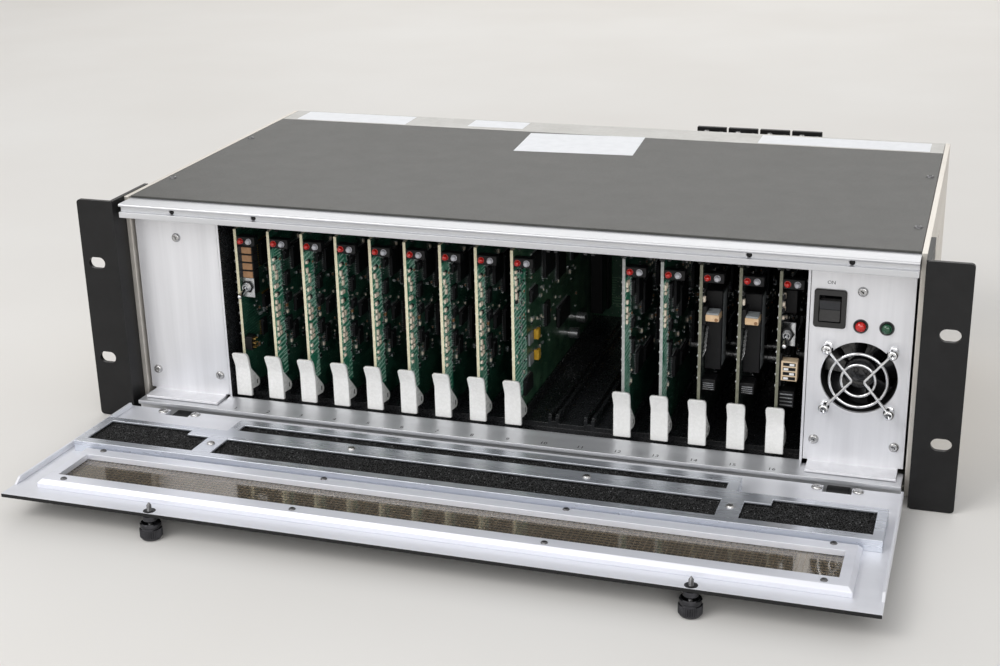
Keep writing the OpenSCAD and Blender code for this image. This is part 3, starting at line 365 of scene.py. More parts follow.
def dressed(node, finish, body, slot, edge=0.25, steps=2, marks=()):
    """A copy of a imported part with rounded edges. Each mark is a test of a face's centre and normal, and the finish
    of the faces that pass it. Edges are rounded less where full rounding would leave the part's box."""
    shell = bmesh.new()
    shell.from_mesh(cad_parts[node].data)
    bmesh.ops.remove_doubles(shell, verts=shell.verts, dist=3e-6)
    bmesh.ops.dissolve_limit(shell, angle_limit=math.radians(1.5), verts=shell.verts, edges=shell.edges)
    mesh = bpy.data.meshes.new(node + "_finished")
    shell.to_mesh(mesh)
    shell.free()
    mesh.materials.clear()
    for number, (test, coat) in enumerate([(None, finish), *marks]):
        mesh.materials.append(coat)
        for face in mesh.polygons:
            face.use_smooth = True
            if not test or test(face.center, face.normal):
                face.material_index = number
    piece = put(node + "_finished", mesh)
    round_off = piece.modifiers.new("edges", "BEVEL")
    round_off.width, round_off.segments = edge * MM, steps
    round_off.limit_method, round_off.angle_limit = "ANGLE", math.radians(36)
    round_off.use_clamp_overlap = False
    piece.modifiers.new("shading", "WEIGHTED_NORMAL").keep_sharp = True
    low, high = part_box(node)
    slack = 0.02 * MM
    corners = [Vector(c) for c in evaluated(piece).bound_box]
    if any(c[i] < low[i] - slack or c[i] > high[i] + slack for c in corners for i in range(3)):
        round_off.use_clamp_overlap = True
    flattened(piece)
    settle(piece, body, slot, node)


class Stock:
    """Gathers the small solids of one piece, each with its own finish, in a working frame."""

    def __init__(self, name, place=BODY):
        self.name, self.place = name, place
        self.points, self.faces, self.tones, self.finishes = [], [], [], []

    def close(self, start, faces, finish):
        """Adds faces on the points from a start on."""
        if finish not in self.finishes:
            self.finishes.append(finish)
        self.faces += [[start + i for i in f] for f in faces]
        self.tones += [self.finishes.index(finish)] * len(faces)

    def add(self, points, faces, finish):
        start = len(self.points)
        self.points += [tuple(p) for p in points]
        self.close(start, faces, finish)
        return start

    def block(self, low, high, finish, chamfer=0.12, turn=None):
        """A box with chamfered edges. Turn is a matrix applied about its own centre."""
        low, high = Vector(low), Vector(high)
        middle, half = (low + high) / 2, (high - low) / 2
        cut = min(chamfer, *(h * 0.8 for h in half))
        points, at = [], {}
        for *signs, axis in product((-1, 1), (-1, 1), (-1, 1), range(3)):
            at[(*signs, axis)] = len(points)
            points.append(Vector([s * (h if i == axis else h - cut) for i, (s, h) in enumerate(zip(signs, half))]))
        faces, ring = [], ((-1, -1), (1, -1), (1, 1), (-1, 1))
        for s in (-1, 1):
            faces += [[at[s, a, b, 0] for a, b in ring], [at[a, s, b, 1] for a, b in ring],
                      [at[a, b, s, 2] for a, b in ring]]
            for t in (-1, 1):
                faces += [[at[s, t, -1, 0], at[s, t, 1, 0], at[s, t, 1, 1], at[s, t, -1, 1]],
                          [at[s, -1, t, 0], at[s, 1, t, 0], at[s, 1, t, 2], at[s, -1, t, 2]],
                          [at[-1, s, t, 1], at[1, s, t, 1], at[1, s, t, 2], at[-1, s, t, 2]]]
                faces += [[at[s, t, u, axis] for axis in range(3)] for u in (-1, 1)]
        self.add([middle + (turn @ p if turn else p) for p in points], faces, finish)

    def blocks(self, shift, *rows):
        """Blocks from rows of two opposite corners, a finish and a chamfer, all shifted alike."""
        for row in rows:
            corners = [v + s for v, s in zip(row[:6], (*shift, *shift))]
            self.block(corners[:3], corners[3:], *row[6:])

    def turned(self, outline, origin, axis, finish, sides=24):
        """A solid of revolution. The outline has pairs of radius and distance along the axis."""
        way = Vector(axis).normalized().to_track_quat("Z", "Y").to_matrix()
        origin = Vector(origin)
        points, rings = [], []
        for radius, along in outline:
            count = sides if radius > 0 else 1
            rings.append(list(range(len(points), len(points) + count)))
            for a in (2 * math.pi * i / sides for i in range(count)):
                points.append(origin + way @ Vector((radius * math.cos(a), radius * math.sin(a), along)))
        faces = []
        for one, two in zip(rings, rings[1:]):
            for i, j in ((i, (i + 1) % sides) for i in range(sides)):
                corners = (one[i % len(one)], one[j % len(one)], two[j % len(two)], two[i % len(two)])
                faces.append(list(dict.fromkeys(corners)))
        faces += [ring for ring in (rings[0], rings[-1]) if len(ring) > 1]
        self.add(points, faces, finish)

    def sheet(self, outline, holes, near, far, finish, axis="X", rim=None):
        """A flat plate with holes, thick along X or Y. Its rim may have another finish."""
        loops = [[Vector((a, b, 0)) for a, b in loop] for loop in [outline, *holes]]
        caps = tessellate_polygon(loops)
        flat = [p for loop in loops for p in loop]
        count = len(flat)
        points = [(t, p.x, p.y) if axis == "X" else (p.x, t, p.y) for t in (near, far) for p in flat]
        sides, start = [], 0
        for loop in loops:
            for i in range(len(loop)):
                j = (i + 1) % len(loop)
                sides.append([start + i, start + j, start + j + count, start + i + count])
            start += len(loop)
        first = self.add(points, [list(t) for t in caps] + [[i + count for i in t] for t in caps], finish)
        self.close(first, sides, rim or finish)

    def rod(self, path, radius, finish, sides=8, closed=False):
        """A round rod along a path."""
        path = [Vector(p) for p in path]
        points, rings, side = [], [], None
        for i, p in enumerate(path):
            after = path[(i + 1) % len(path)] if closed or i + 1 < len(path) else p
            before = path[i - 1] if closed or i else p
            ahead = (after - before).normalized()
            if side is None:
                side = ahead.orthogonal().normalized()
            side = (side - ahead * side.dot(ahead)).normalized()
            other = ahead.cross(side)
            rings.append(list(range(len(points), len(points) + sides)))
            for a in (2 * math.pi * k / sides for k in range(sides)):
                points.append(p + side * radius * math.cos(a) + other * radius * math.sin(a))
        pairs = list(zip(rings, rings[1:])) + ([(rings[-1], rings[0])] if closed else [])
        faces = [[one[k], one[(k + 1) % sides], two[(k + 1) % sides], two[k]]
                 for one, two in pairs for k in range(sides)]
        if not closed:
            faces += [rings[0], rings[-1]]
        self.add(points, faces, finish)

    def made(self, body, slot, *nodes, crease=CREASE):
        """The gathered solids as one piece of the scene."""
        mesh = bpy.data.meshes.new(self.name)
        mesh.from_pydata([self.place @ Vector(p) for p in self.points], [], self.faces)
        for finish in self.finishes:
            mesh.materials.append(finish)
        mesh.polygons.foreach_set("material_index", self.tones)
        shell = bmesh.new()
        shell.from_mesh(mesh)
        bmesh.ops.remove_doubles(shell, verts=shell.verts, dist=1e-7)
        bmesh.ops.recalc_face_normals(shell, faces=shell.faces)
        shell.to_mesh(mesh)
        shell.free()
        smoothed(mesh, crease)
        return settle(put(self.name, mesh), body, slot, *nodes)


def smoothed(mesh, crease):
    """Shades a mesh smooth, but not over edges steeper than the crease."""
    mesh.polygons.foreach_set("use_smooth", [True] * len(mesh.polygons))
    mesh.set_sharp_from_angle(angle=math.radians(crease))


# Node trees for what repeats

class Tree:
    """A geometry node tree with named inputs, built link by link. Its own lengths are in metres."""

    def __init__(self, name, **inputs):
        self.group = bpy.data.node_groups.new(name, "GeometryNodeTree")
        face = self.group.interface
        face.new_socket("Geometry", in_out="INPUT", socket_type="NodeSocketGeometry")
        kinds = {float: "NodeSocketFloat", int: "NodeSocketInt", bpy.types.Material: "NodeSocketMaterial"}
        for key, value in inputs.items():
            made = face.new_socket(key, in_out="INPUT", socket_type=kinds[type(value)])
            if not isinstance(value, bpy.types.Material):
                made.default_value = value
        face.new_socket("Geometry", in_out="OUTPUT", socket_type="NodeSocketGeometry")
        self.given = {s.name: s for s in self.group.nodes.new("NodeGroupInput").outputs}
        self.end = self.group.nodes.new("NodeGroupOutput")
        self.values = inputs

    def node(self, kind, wires=None, **settings):
        return wired(self.group, kind, wires, **settings).outputs[0]

    def calc(self, kind, a, b=0.0):
        return math_node(self.group, kind, a, b)

    def times(self, a, b):
        return self.calc("MULTIPLY", a, b)

    def triple(self, x=0.0, y=0.0, z=0.0):
        return self.node("ShaderNodeCombineXYZ", {0: x, 1: y, 2: z})

    def moved(self, mesh, shift, turn=(0, 0, 0)):
        return self.node("GeometryNodeTransform", {"Geometry": mesh, "Translation": shift, "Rotation": turn})

    def coated(self, mesh, finish):
        return self.node("GeometryNodeSetMaterial", {"Geometry": mesh, "Material": finish})

    def joined(self, *meshes):
        return self.node("GeometryNodeJoinGeometry", {0: list(meshes)})

    def field(self, name, kind="FLOAT_VECTOR"):
        return self.node("GeometryNodeInputNamedAttribute", {"Name": name}, data_type=kind)

    def copied(self, points, shape, **more):
        """Copies of a shape on points, made real."""
        placed = self.node("GeometryNodeInstanceOnPoints", {"Points": points, "Instance": shape, **more})
        return self.node("GeometryNodeRealizeInstances", {0: placed})

    def standing(self, shape):
        """Copies of the shape on the carrier's points, its z along each point's facing."""
        aim = self.node("FunctionNodeAlignRotationToVector", {"Vector": self.field("facing")}, axis="Z")
        turn = self.node("FunctionNodeEulerToRotation", {0: self.triple(z=self.field("turn", "FLOAT"))})
        spin = self.node("FunctionNodeRotateRotation", {0: aim, 1: turn}, rotation_space="LOCAL")
        return self.copied(self.given["Geometry"], shape, Rotation=spin, Scale=self.field("size"))

    def done(self, mesh):
        self.group.links.new(mesh, self.end.inputs[0])
        return self


def grown(tree, name, spots, body, slot, *nodes, **changes):
    """Runs a tree on points (place, facing, turn, size) in metres and keeps the plain mesh."""
    mesh = bpy.data.meshes.new(name)
    mesh.from_pydata([s[0] for s in spots], [], [])
    for key, kind in (("facing", "FLOAT_VECTOR"), ("turn", "FLOAT"), ("size", "FLOAT_VECTOR")):
        mesh.attributes.new(key, kind, "POINT")
    for i, spot in enumerate(spots):
        mesh.attributes["facing"].data[i].vector = spot[1]
        mesh.attributes["turn"].data[i].value = spot[2]
        mesh.attributes["size"].data[i].vector = spot[3]
    piece = put(name, mesh)
    grow = piece.modifiers.new("grow", "NODES")
    grow.node_group = tree.group
    for item in tree.group.interface.items_tree:
        if item.in_out == "INPUT" and item.name in tree.values:
            grow[item.identifier] = changes.get(item.name, tree.values[item.name])
    flattened(piece)
    for key in ("facing", "turn", "size"):
        if key in piece.data.attributes:
            piece.data.attributes.remove(piece.data.attributes[key])
    smoothed(piece.data, CREASE)
    settle(piece, body, slot, *nodes)


def screw_tree():
    """Cross recess pan head: a domed head, flattened on top, with two crossed cuts."""
    t = Tree("cross_head_screws", head_radius=0.0026, head_height=0.0015, recess_length=0.0028, recess_width=0.0006,
             finish=STEEL)
    radius, height, long, wide = [t.given[key] for key in t.values][:4]
    ball = t.node("GeometryNodeMeshUVSphere", {"Segments": 28, "Rings": 14, "Radius": radius})
    axes = wired(t.group, "ShaderNodeSeparateXYZ", {0: t.node("GeometryNodeInputPosition")}).outputs
    steep = t.calc("DIVIDE", t.times(height, 1.45), radius)
    lifted = t.calc("MINIMUM", t.times(t.calc("MAXIMUM", axes[2], 0.0), steep), height)
    dome = t.node("GeometryNodeSetPosition", {"Geometry": ball, "Position": t.triple(axes[0], axes[1], lifted)})
    cuts = [t.moved(t.node("GeometryNodeMeshCube", {"Size": t.triple(x, y, height)}), t.triple(z=height))
            for x, y in ((long, wide), (wide, long))]
    head = t.node("GeometryNodeMeshBoolean", {"Mesh 1": dome, "Mesh 2": cuts}, operation="DIFFERENCE")
    return t.done(t.coated(t.standing(head), t.given["finish"]))


def lead_tree():
    """Small square leads and pads, sized by each point."""
    t = Tree("metal_leads", finish=TIN)
    bar = t.node("GeometryNodeMeshCube", {"Size": (1, 1, 1)})
    return t.done(t.coated(t.standing(bar), t.given["finish"]))


def bump_tree():
    """Low solder bumps, sized by each point."""
    t = Tree("solder_bumps", finish=TIN)
    ball = t.node("GeometryNodeMeshUVSphere", {"Segments": 8, "Rings": 5, "Radius": 1.0})
    return t.done(t.coated(t.standing(ball), t.given["finish"]))


def coax_tree():
    """Rear coaxial socket: hexagonal flange, hollow barrel with two lugs, white insulator and gold centre."""
    t = Tree("coaxial_sockets", flange_radius=0.0064, flange_height=0.002, barrel_radius=0.0048,
             barrel_length=0.014, bore_radius=0.004, core_radius=0.0022, lug_length=0.0021, shell=STEEL,
             core=NYLON, pin=GOLD)
    flange, thick, barrel, length, bore, heart, lug_length, shell, core, pin = [t.given[key] for key in t.values]

    def cylinder(sides, radius, depth):
        return t.node("GeometryNodeMeshCylinder", {"Vertices": sides, "Radius": radius, "Depth": depth})

    def drum(radius, depth, sides, shift=0.0):
        return t.moved(cylinder(sides, radius, depth), t.triple(z=t.calc("ADD", t.times(depth, 0.5), shift)))

    outer = t.node("GeometryNodeMeshBoolean", {"Mesh 2": [drum(flange, thick, 6), drum(barrel, length, 28)]},
                   operation="UNION")
    hollow = drum(bore, length, 28, t.times(thick, 1.5))
    bored = t.node("GeometryNodeMeshBoolean", {"Mesh 1": outer, "Mesh 2": [hollow]}, operation="DIFFERENCE")
    lug = cylinder(12, 0.0009, lug_length)
    reach = t.calc("ADD", barrel, t.times(lug_length, 0.35))
    high = t.calc("SUBTRACT", length, 0.003)
    lugs = [t.moved(lug, t.triple(x=t.times(reach, s), z=high), (0, math.pi / 2, 0)) for s in (-1.0, 1.0)]
    band = t.moved(cylinder(28, t.times(barrel, 1.07), 0.0008), t.triple(z=t.times(length, 0.45)))
    return t.done(t.standing(t.joined(
        t.coated(t.joined(bored, band, *lugs), shell),
        t.coated(drum(heart, t.calc("SUBTRACT", length, 0.0025), 20), core),
        t.coated(drum(t.times(heart, 0.36), t.calc("SUBTRACT", length, 0.0018), 12), pin))))


def mesh_tree():
    """Woven wire behind the window: two layers of crossing wires over a width and a height."""
    t = Tree("woven_wire", width=0.3966, height=0.0306, pitch=0.0027, wire_radius=0.00028, finish=WIRE)
    width, height, pitch, radius, finish = [t.given[key] for key in t.values]
    layers = []
    for across, along, lift in ((width, height, 1.0), (height, width, -1.0)):
        count = t.calc("FLOOR", t.calc("DIVIDE", across, pitch))
        start = t.times(t.calc("SUBTRACT", count, 1.0), t.times(pitch, -0.5))
        line = t.node("GeometryNodeMeshLine", {"Count": count, "Start Location": t.triple(x=start),
                                               "Offset": t.triple(x=pitch)}, mode="OFFSET")
        wire = t.node("GeometryNodeMeshCylinder", {"Vertices": 6, "Radius": radius, "Depth": along})
        wire = t.moved(wire, t.triple(z=t.times(radius, lift * 0.9)), (math.pi / 2, 0, 0))
        row = t.copied(line, wire)
        layers.append(row if lift > 0 else t.moved(row, (0, 0, 0), (0, 0, math.pi / 2)))
    return t.done(t.coated(t.standing(t.joined(*layers)), finish))


def knurl_tree():
    """Straight knurl round a knob: slim ridges on a ring of points."""
    t = Tree("knurled_band", ridges=36, band_radius=0.00512, band_length=0.005, ridge=0.00062, finish=NICKEL)
    ridges, radius, length, side, finish = [t.given[key] for key in t.values]
    ring = t.node("GeometryNodeMeshCircle", {"Vertices": ridges, "Radius": radius})
    outward = t.node("FunctionNodeAlignRotationToVector", {"Vector": t.node("GeometryNodeInputPosition")}, axis="X")
    bar = t.node("GeometryNodeMeshCube", {"Size": t.triple(side, side, length)})
    ridge = t.moved(bar, (0, 0, 0), (0, 0, math.pi / 4))
    return t.done(t.coated(t.standing(t.copied(ring, ridge, Rotation=outward)), finish))


SCREWS, LEADS, BUMPS = screw_tree(), lead_tree(), bump_tree()
COAX, WOVEN, KNURL = coax_tree(), mesh_tree(), knurl_tree()


def body_spot(x, y, z, facing, turn=0.0, size=1.0):
    """A point of a carrier on the body. Size is a factor, or a triple of millimetres for a unit shape."""
    scale = (size,) * 3 if isinstance(size, (int, float)) else tuple(s * MM for s in size)
    return BODY @ Vector((x, y, z)), Vector(facing), turn, scale


def door_way(x, y, z):
    """A direction of the door's frame."""
    return DOOR.to_3x3().normalized() @ Vector((x, y, z))


def door_spot(x, u, h, turn=0.0, size=1.0):
    """A point of a carrier on the door's inner side, u from its hinge edge and h off its skin."""
    return DOOR @ Vector((x, -u, h)), door_way(*UP), turn, (size,) * 3


def circle(a, b, radius, count):
    """Points round a circle about (a, b)."""
    angles = (2 * math.pi * i / count for i in range(count))
    return [(a + radius * math.cos(angle), b + radius * math.sin(angle)) for angle in angles]


def dome(radius, base, height, steps):
    """The outline of a dome, from just above its base to its top."""
    angles = (math.pi / 2 * i / steps for i in range(1, steps))
    return [(radius * math.cos(a), base + height * math.sin(a)) for a in angles] + [(0, base + height)]


# Body: sheet metal, rails and trays

def faces_front(centre, normal):
    """The dividers' front and back faces are bare metal."""
    return abs(normal.y) > 0.6


def hinge_pin_end(centre, normal):
    """The part of a hinge pin that shows beside its block."""
    x, y, z = BODY.inverted() @ centre
    return abs(y + 8) < 2 and abs(z - 4.5) < 1.5 and abs(abs(x) - 184.8) > 5.85


def inlet_blade(centre, normal):
    """The three contact blades inside each mains inlet."""
    x, y, z = BODY.inverted() @ centre
    return 226.2 < y < 235.6 and abs(z - 40) < 5.2 and any(abs(abs(x) - MODULE_X - p) < 1.3 for p in (-7, 0, 7))


for node, finish, slot, *more in (("side_plates", SIDE, "side_aluminium", 0.3),
                                  ("top_cover", COVER, "cover_paint", 0.3),
                                  ("base_plate", PLATED, "case_steel", 0.2),
                                  ("rack_ears", EAR, "ear_paint", 0.45, 3),
                                  ("front_rails", RAIL, "rail_aluminium", 0.22),
                                  ("rear_panel", PLATED, "panel_aluminium", 0.2),
                                  ("bay_dividers", GUIDE, "side_aluminium", 0.2, 2, [(faces_front, PANEL)]),
                                  ("blank_panel", PANEL, "panel_aluminium", 0.25),
                                  ("card_guides", GUIDE, "guide_plastic", 0.2),
                                  ("hinge_blocks", BLACK, "guide_plastic", 0.3, 2, [(hinge_pin_end, STEEL)]),
                                  ("power_inlets", BLACK, "guide_plastic", 0.25, 2, [(inlet_blade, TIN)])):
    dressed(node, finish, "chassis", slot, *more)


def guide_ends():
    """Raised lead-in blocks at the front of the lower card guides, with a flared mouth over each groove."""
    ends = Stock("guide_end_blocks")
    for n in range(1, SLOTS + 1):
        groove = (board_x(n) + BOARD / 2, 0, 0)
        for low, high in ((-3.2, -1.25), (1.25, 3.2)):
            ends.blocks(groove, (low, 29.6, 9.85, high, 38, 17.6, GUIDE, 0.3),
                        (low, 38.2, 12.6, high, 44, 16.6, GUIDE, 0.3))
        ends.blocks(groove, (-3.4, 30, 9.85, 3.4, 31.3, 12.6, GUIDE, 0.2))
    ends.made("chassis", "guide_plastic")


def midplane():
    """Rear circuit board with a black two-row socket in every slot, and the contacts of the two open ones."""
    plane = Stock("midplane_finished")
    plane.block((-162.5, 205, 8.4), (162.5, 207.4, 118.5), GREEN, 0.2)
    for n in range(1, SLOTS + 1):
        plane.blocks((board_x(n) + BOARD, 0, 0), (0, 197, 20, 9, 205.05, 106, BLACK, 0.4))
    plane.made("chassis", "board_dark", "midplane")
    pins = [body_spot(board_x(n) + BOARD + row, 196.8, 23 + 2.54 * i, OUT, 0, (1.1, 1.1, 0.5))
            for n in (10, 11) for row in (2.7, 6.3) for i in range(32)]
    grown(LEADS, "midplane_contacts", pins, "chassis", "screw_steel", finish=GOLD)


def labels():
    """The rating and notice labels, left blank: thin white foils, one slanted on the cover."""
    foils = Stock("blank_labels")
    foils.blocks((0, 0, COVER_TOP), (-206, 216.5, 0, -128, 239, 0.06, LABEL, 0.02),
                 (-86, 221, 0, -48, 239, 0.06, LABEL, 0.02), (105, 217, 0, 208, 238, 0.06, LABEL, 0.02),
                 (-38, 166, 0, 36, 213.5, 0.07, LABEL, 0.02, Matrix.Rotation(math.radians(3.5), 3, "Z")))
    foils.made("chassis", "panel_aluminium", crease=20)


def terminal_blocks():
    """Black screw terminal blocks: one stepped moulding each, ribbed between ways, with clamp screws, and glossy black
    blocks in the clamps that paint the shade of the wire mouths.
    """
    blocks, screws, wide, ways = Stock("terminal_blocks_finished"), [], 18.9, 4
    for i in range(4):
        left = 61 + 20.2 * i
        blocks.blocks((left, 0, 0), (0, REAR + 0.02, 108, wide, 249.5, 127, BLACK, 0.35),
                      (0.05, 249.3, 108, wide - 0.05, 252.6, 130.95, BLACK, 0.35),
                      (0.05, 252.4, 108, wide - 0.05, 255, 118.6, BLACK, 0.35))
        for w in range(ways + 1):
            rib = min(max(wide * w / ways, 0.5), wide - 0.5)
            blocks.blocks((left + rib, 0, 0), (-0.42, 252.2, 108.2, 0.42, 254.8, 124.4, BLACK, 0.2))
        for w in range(ways):
            x = left + (w + 0.5) * wide / ways
            # The glossy black block inside each clamp is painted shade for the wire mouth.
            blocks.blocks((x, 0, 0), (-1.35, 253.4, 110, 1.35, 255, 115, TIN, 0.2),
                          (-1, 254.2, 110.5, 1, 254.99, 114.5, GLOSS, 0.2))
            screws.append(body_spot(x, 252.5, 121, BACK, 0.4 * w + i))
        for share, size in ((0.36, 1.25), (0.86, 1)):
            screws.append(body_spot(left + wide * share, 246, 127, UP, 0.3 + i, size))
    blocks.made("chassis", "guide_plastic", "terminal_blocks")
    grown(SCREWS, "terminal_screws", screws, "chassis", "screw_steel",
          head_radius=0.0016, head_height=0.0022, recess_length=0.0022)


def sockets():
    """Rear coaxial sockets, one column of four to a slot."""
    spots = [body_spot(slot_x(n) + PITCH / 2, REAR, 30 + 19 * r, BACK) for n in range(1, SLOTS + 1) for r in range(4)]
    grown(COAX, "coaxial_sockets", spots, "chassis", "toggle_metal", "bnc_connectors")


PANEL_SCREWS = [(0, 107.5), (-20.1, 26), (20.1, 26)]


def body_screws():
    """Screws of the blanking and rear panels, the cover and the ears, and black plugs behind the front rail's screw
    holes, painted shade in the holes.
    """
    spots = [body_spot(x - MODULE_X, PANEL_Y, z, OUT, 0.5 + x) for x, z in PANEL_SCREWS]
    spots += [body_spot(x, REAR, z, BACK, z) for x in (-209.9, 209.9) for z in (9, 121)]
    grown(SCREWS, "panel_screws", spots, "chassis", "screw_steel", "chassis_screws", head_height=0.0014)
    dark = []
    for side in (-1, 1):
        dark += [body_spot(side * 211.5, y, COVER_TOP, UP, y, 0.86) for y in (56, 158)]
        dark += [body_spot(side * 221.2, 28, z, (side, 0, 0), z) for z in (22, 65, 108)]
    grown(SCREWS, "cover_and_ear_screws", dark, "chassis", "screw_steel", head_height=0.0009, finish=DARK_STEEL)
    # Black plugs at the back of the rail's screw holes: painted shade inside the holes.
    thread = Stock("rail_hole_shade_plugs")
    for x in (-KNOB_X, KNOB_X, -184.2, 184.2):
        thread.turned([(0, 6.4), (1.25, 6.4), (1.25, 4.3), (0.9, 4.2), (0, 4.2)], (x, 0, 125.75), BACK, BLACK, 16)
    thread.made("chassis", "screw_steel")


def printed(name, words, body):
    """Words and numbers, each with its size and place, as one piece of thin printed relief."""
    whole = bmesh.new()
    for text, size, place in words:
        data = bpy.data.curves.new(name + "_draft", "FONT")
        data.body, data.size, data.align_x, data.align_y = text, size, "CENTER", "CENTER"
        data.extrude, data.resolution_u = 0.015, 3
        draft = put(name + "_draft", data)
        mesh = bpy.data.meshes.new_from_object(evaluated(draft))
        bpy.data.objects.remove(draft)
        mesh.transform(place)
        whole.from_mesh(mesh)
    mesh = bpy.data.meshes.new(name)
    whole.to_mesh(mesh)
    whole.free()
    mesh.materials.append(INK)
    settle(put(name, mesh), body, "guide_plastic")


def print_marks():
    """Slot numbers on the shelf and the word on the switch."""
    places = [(n, BODY @ Matrix.Translation((board_x(n) + 2.6, 3.2, 12.01))) for n in range(1, SLOTS + 1)]
    printed("slot_numbers", [(str(n), 4.2, place) for n, place in places], "chassis")
    place = BODY @ Matrix.Translation((SWITCH_X, PANEL_Y - 0.01, 111)) @ Matrix.Rotation(math.pi / 2, 4, "X")
    printed("switch_word", [("ON", 2.6, place)], "power_module")


guide_ends()
midplane()
labels()
terminal_blocks()
sockets()
body_screws()
print_marks()


# Door

def outer_face(centre, normal):
    """The painted outer side of the skin and its front flange."""
    _, y, z = DOOR.inverted() @ centre
    return (normal.dot(door_way(0, 0, -1)) > 0.6 and z < -1.5) or (normal.dot(door_way(*OUT)) > 0.6 and y < -128)


dressed("door_skin", SKIN, "door", "door_aluminium", 0.22, marks=[(outer_face, EAR)])
dressed("filter_tray", TRAY, "door", "tray_steel", 0.22)
dressed("window_bezel", BEZEL, "door", "rail_aluminium", 0.25)


def window():
    """From inside out: a clear pane, woven wire with the strip where two lengths meet, and a smoked pane that is
    painted shade.
    """
    pane = Stock("window_pane_clear", DOOR)
    pane.block((-199.3, -114.3, 0.35), (199.3, -81.7, 1.38), PANE, 0.1)
    # The smoked pane is painted shade: it darkens whatever shows through the window.
    pane.block((-198.3, -113.3, -1.6), (198.3, -82.7, -1.15), SHADE_PANE, 0.05)
    pane.made("door", "smoked_window", "window_pane")
    grown(WOVEN, "window_wire", [door_spot(0, 98, -0.32)], "door", "screw_steel")
    strips = Stock("window_wire_strips", DOOR)
    strips.block((175.3, -113, -0.06), (181.7, -83, 0.12), CASE, 0.05)
    for x, y in product((-190, 190), (-83.2, -112.8)):
        strips.blocks((x, y, 0), (-5, -0.9, -0.9, 5, 0.9, -0.1, BLACK, 0.2))
    strips.made("door", "case_steel")


def foam():
    """One cut slab of open-cell foam under the tray, risen a little and uneven in its openings."""
    rng = random.Random(7)
    half, step_half, near, step, far, cell = 211, 138, 21, 38, 72, 0.9
    columns, rows = int(2 * half / cell), int((far - near) / cell)
    waves = [(rng.uniform(0.15, 1.9), rng.uniform(0.15, 1.9), rng.uniform(0, 6.28), rng.uniform(0.02, 0.07))
             for _ in range(22)]

    def place(i, j):
        return i * 2 * half / columns - half, near + j * (far - near) / rows

    def inside(x, u):
        return u >= step or abs(x) <= step_half

    points, number = [], {}
    for i, j in product(range(columns + 1), range(rows + 1)):
        x, u = place(i, j)
        lump = sum(a * math.sin(p * x + q * u + s) for p, q, s, a in waves)
        number[i, j] = len(points)
        points.append((x, -u, 4.3 + lump + rng.uniform(-0.28, 0.28)))
    kept = [(i, j) for i, j in product(range(columns), range(rows)) if inside(*place(i + 0.5, j + 0.5))]
    whole, under = set(kept), {}
    faces = [[number[i, j], number[i, j + 1], number[i + 1, j + 1], number[i + 1, j]] for i, j in kept]

    def low(key):
        """The point of the flat underside beneath a point of the surface."""
        if key not in under:
            under[key] = len(points)
            points.append((*points[number[key]][:2], 0.05))
        return under[key]

    for i, j in kept:
        corners = [(i, j), (i + 1, j), (i + 1, j + 1), (i, j + 1)]
        faces.append([low(key) for key in corners])
        for a, b, beside in zip(corners, corners[1:] + corners[:1], ((i, j - 1), (i + 1, j), (i, j + 1), (i - 1, j))):
            if beside not in whole:
                faces.append([number[a], number[b], low(b), low(a)])
    used = sorted({k for f in faces for k in f})
    fresh = {k: i for i, k in enumerate(used)}
    slab = Stock("filter_foam_slab", DOOR)
    slab.add([points[k] for k in used], [[fresh[k] for k in f] for f in faces], FOAM)
    piece = slab.made("door", "foam", "filter_foam", crease=180)


def door_fasteners():
    """The screws of the bezel, the tray and the hinge leaves, and the ferrules of the thumbscrews."""
    spots = [door_spot(x, u, 4.5, abs(x) + u, 0.66) for x in (-63.5, -190.5, 63.5, 190.5) for u in (78.6, 116.3)]
    grown(SCREWS, "bezel_screws", spots, "door", "screw_steel", "door_screws",
          head_height=0.0011, recess_length=0.003, recess_width=0.0008, finish=DARK_STEEL)
    spots = [door_spot(x, u, 6, abs(x), 0.84) for x, u in ((-138.9, 56), (-64, 41.5), (138.9, 56), (64, 41.5))]
    grown(SCREWS, "tray_screws", spots, "door", "screw_steel", head_height=0.0012)
    spots = [door_spot(x, 7.8, 0, abs(x), 1.1) for x in (-174.6, -195, 174.6, 195)]
    grown(SCREWS, "hinge_leaf_screws", spots, "door", "screw_steel", head_height=0.0011)
    cups = Stock("thumbscrew_ferrules", DOOR)
    for x in (-KNOB_X, KNOB_X):
        cups.turned([(1.75, -2), (2.9, -2), (3.6, -2.2), (3.6, -4.6), (3.2, -5), (1.75, -5), (1.75, -2)],
                    (x, -KNOB_U, 0), UP, NICKEL, 32)
        cups.turned([(1.35, -0.4), (3.1, -0.4), (3.1, 0.06), (1.35, 0.06), (1.35, -0.4)],
                    (x, -KNOB_U, 0), UP, BLACK, 32)
    cups.made("door", "screw_steel")


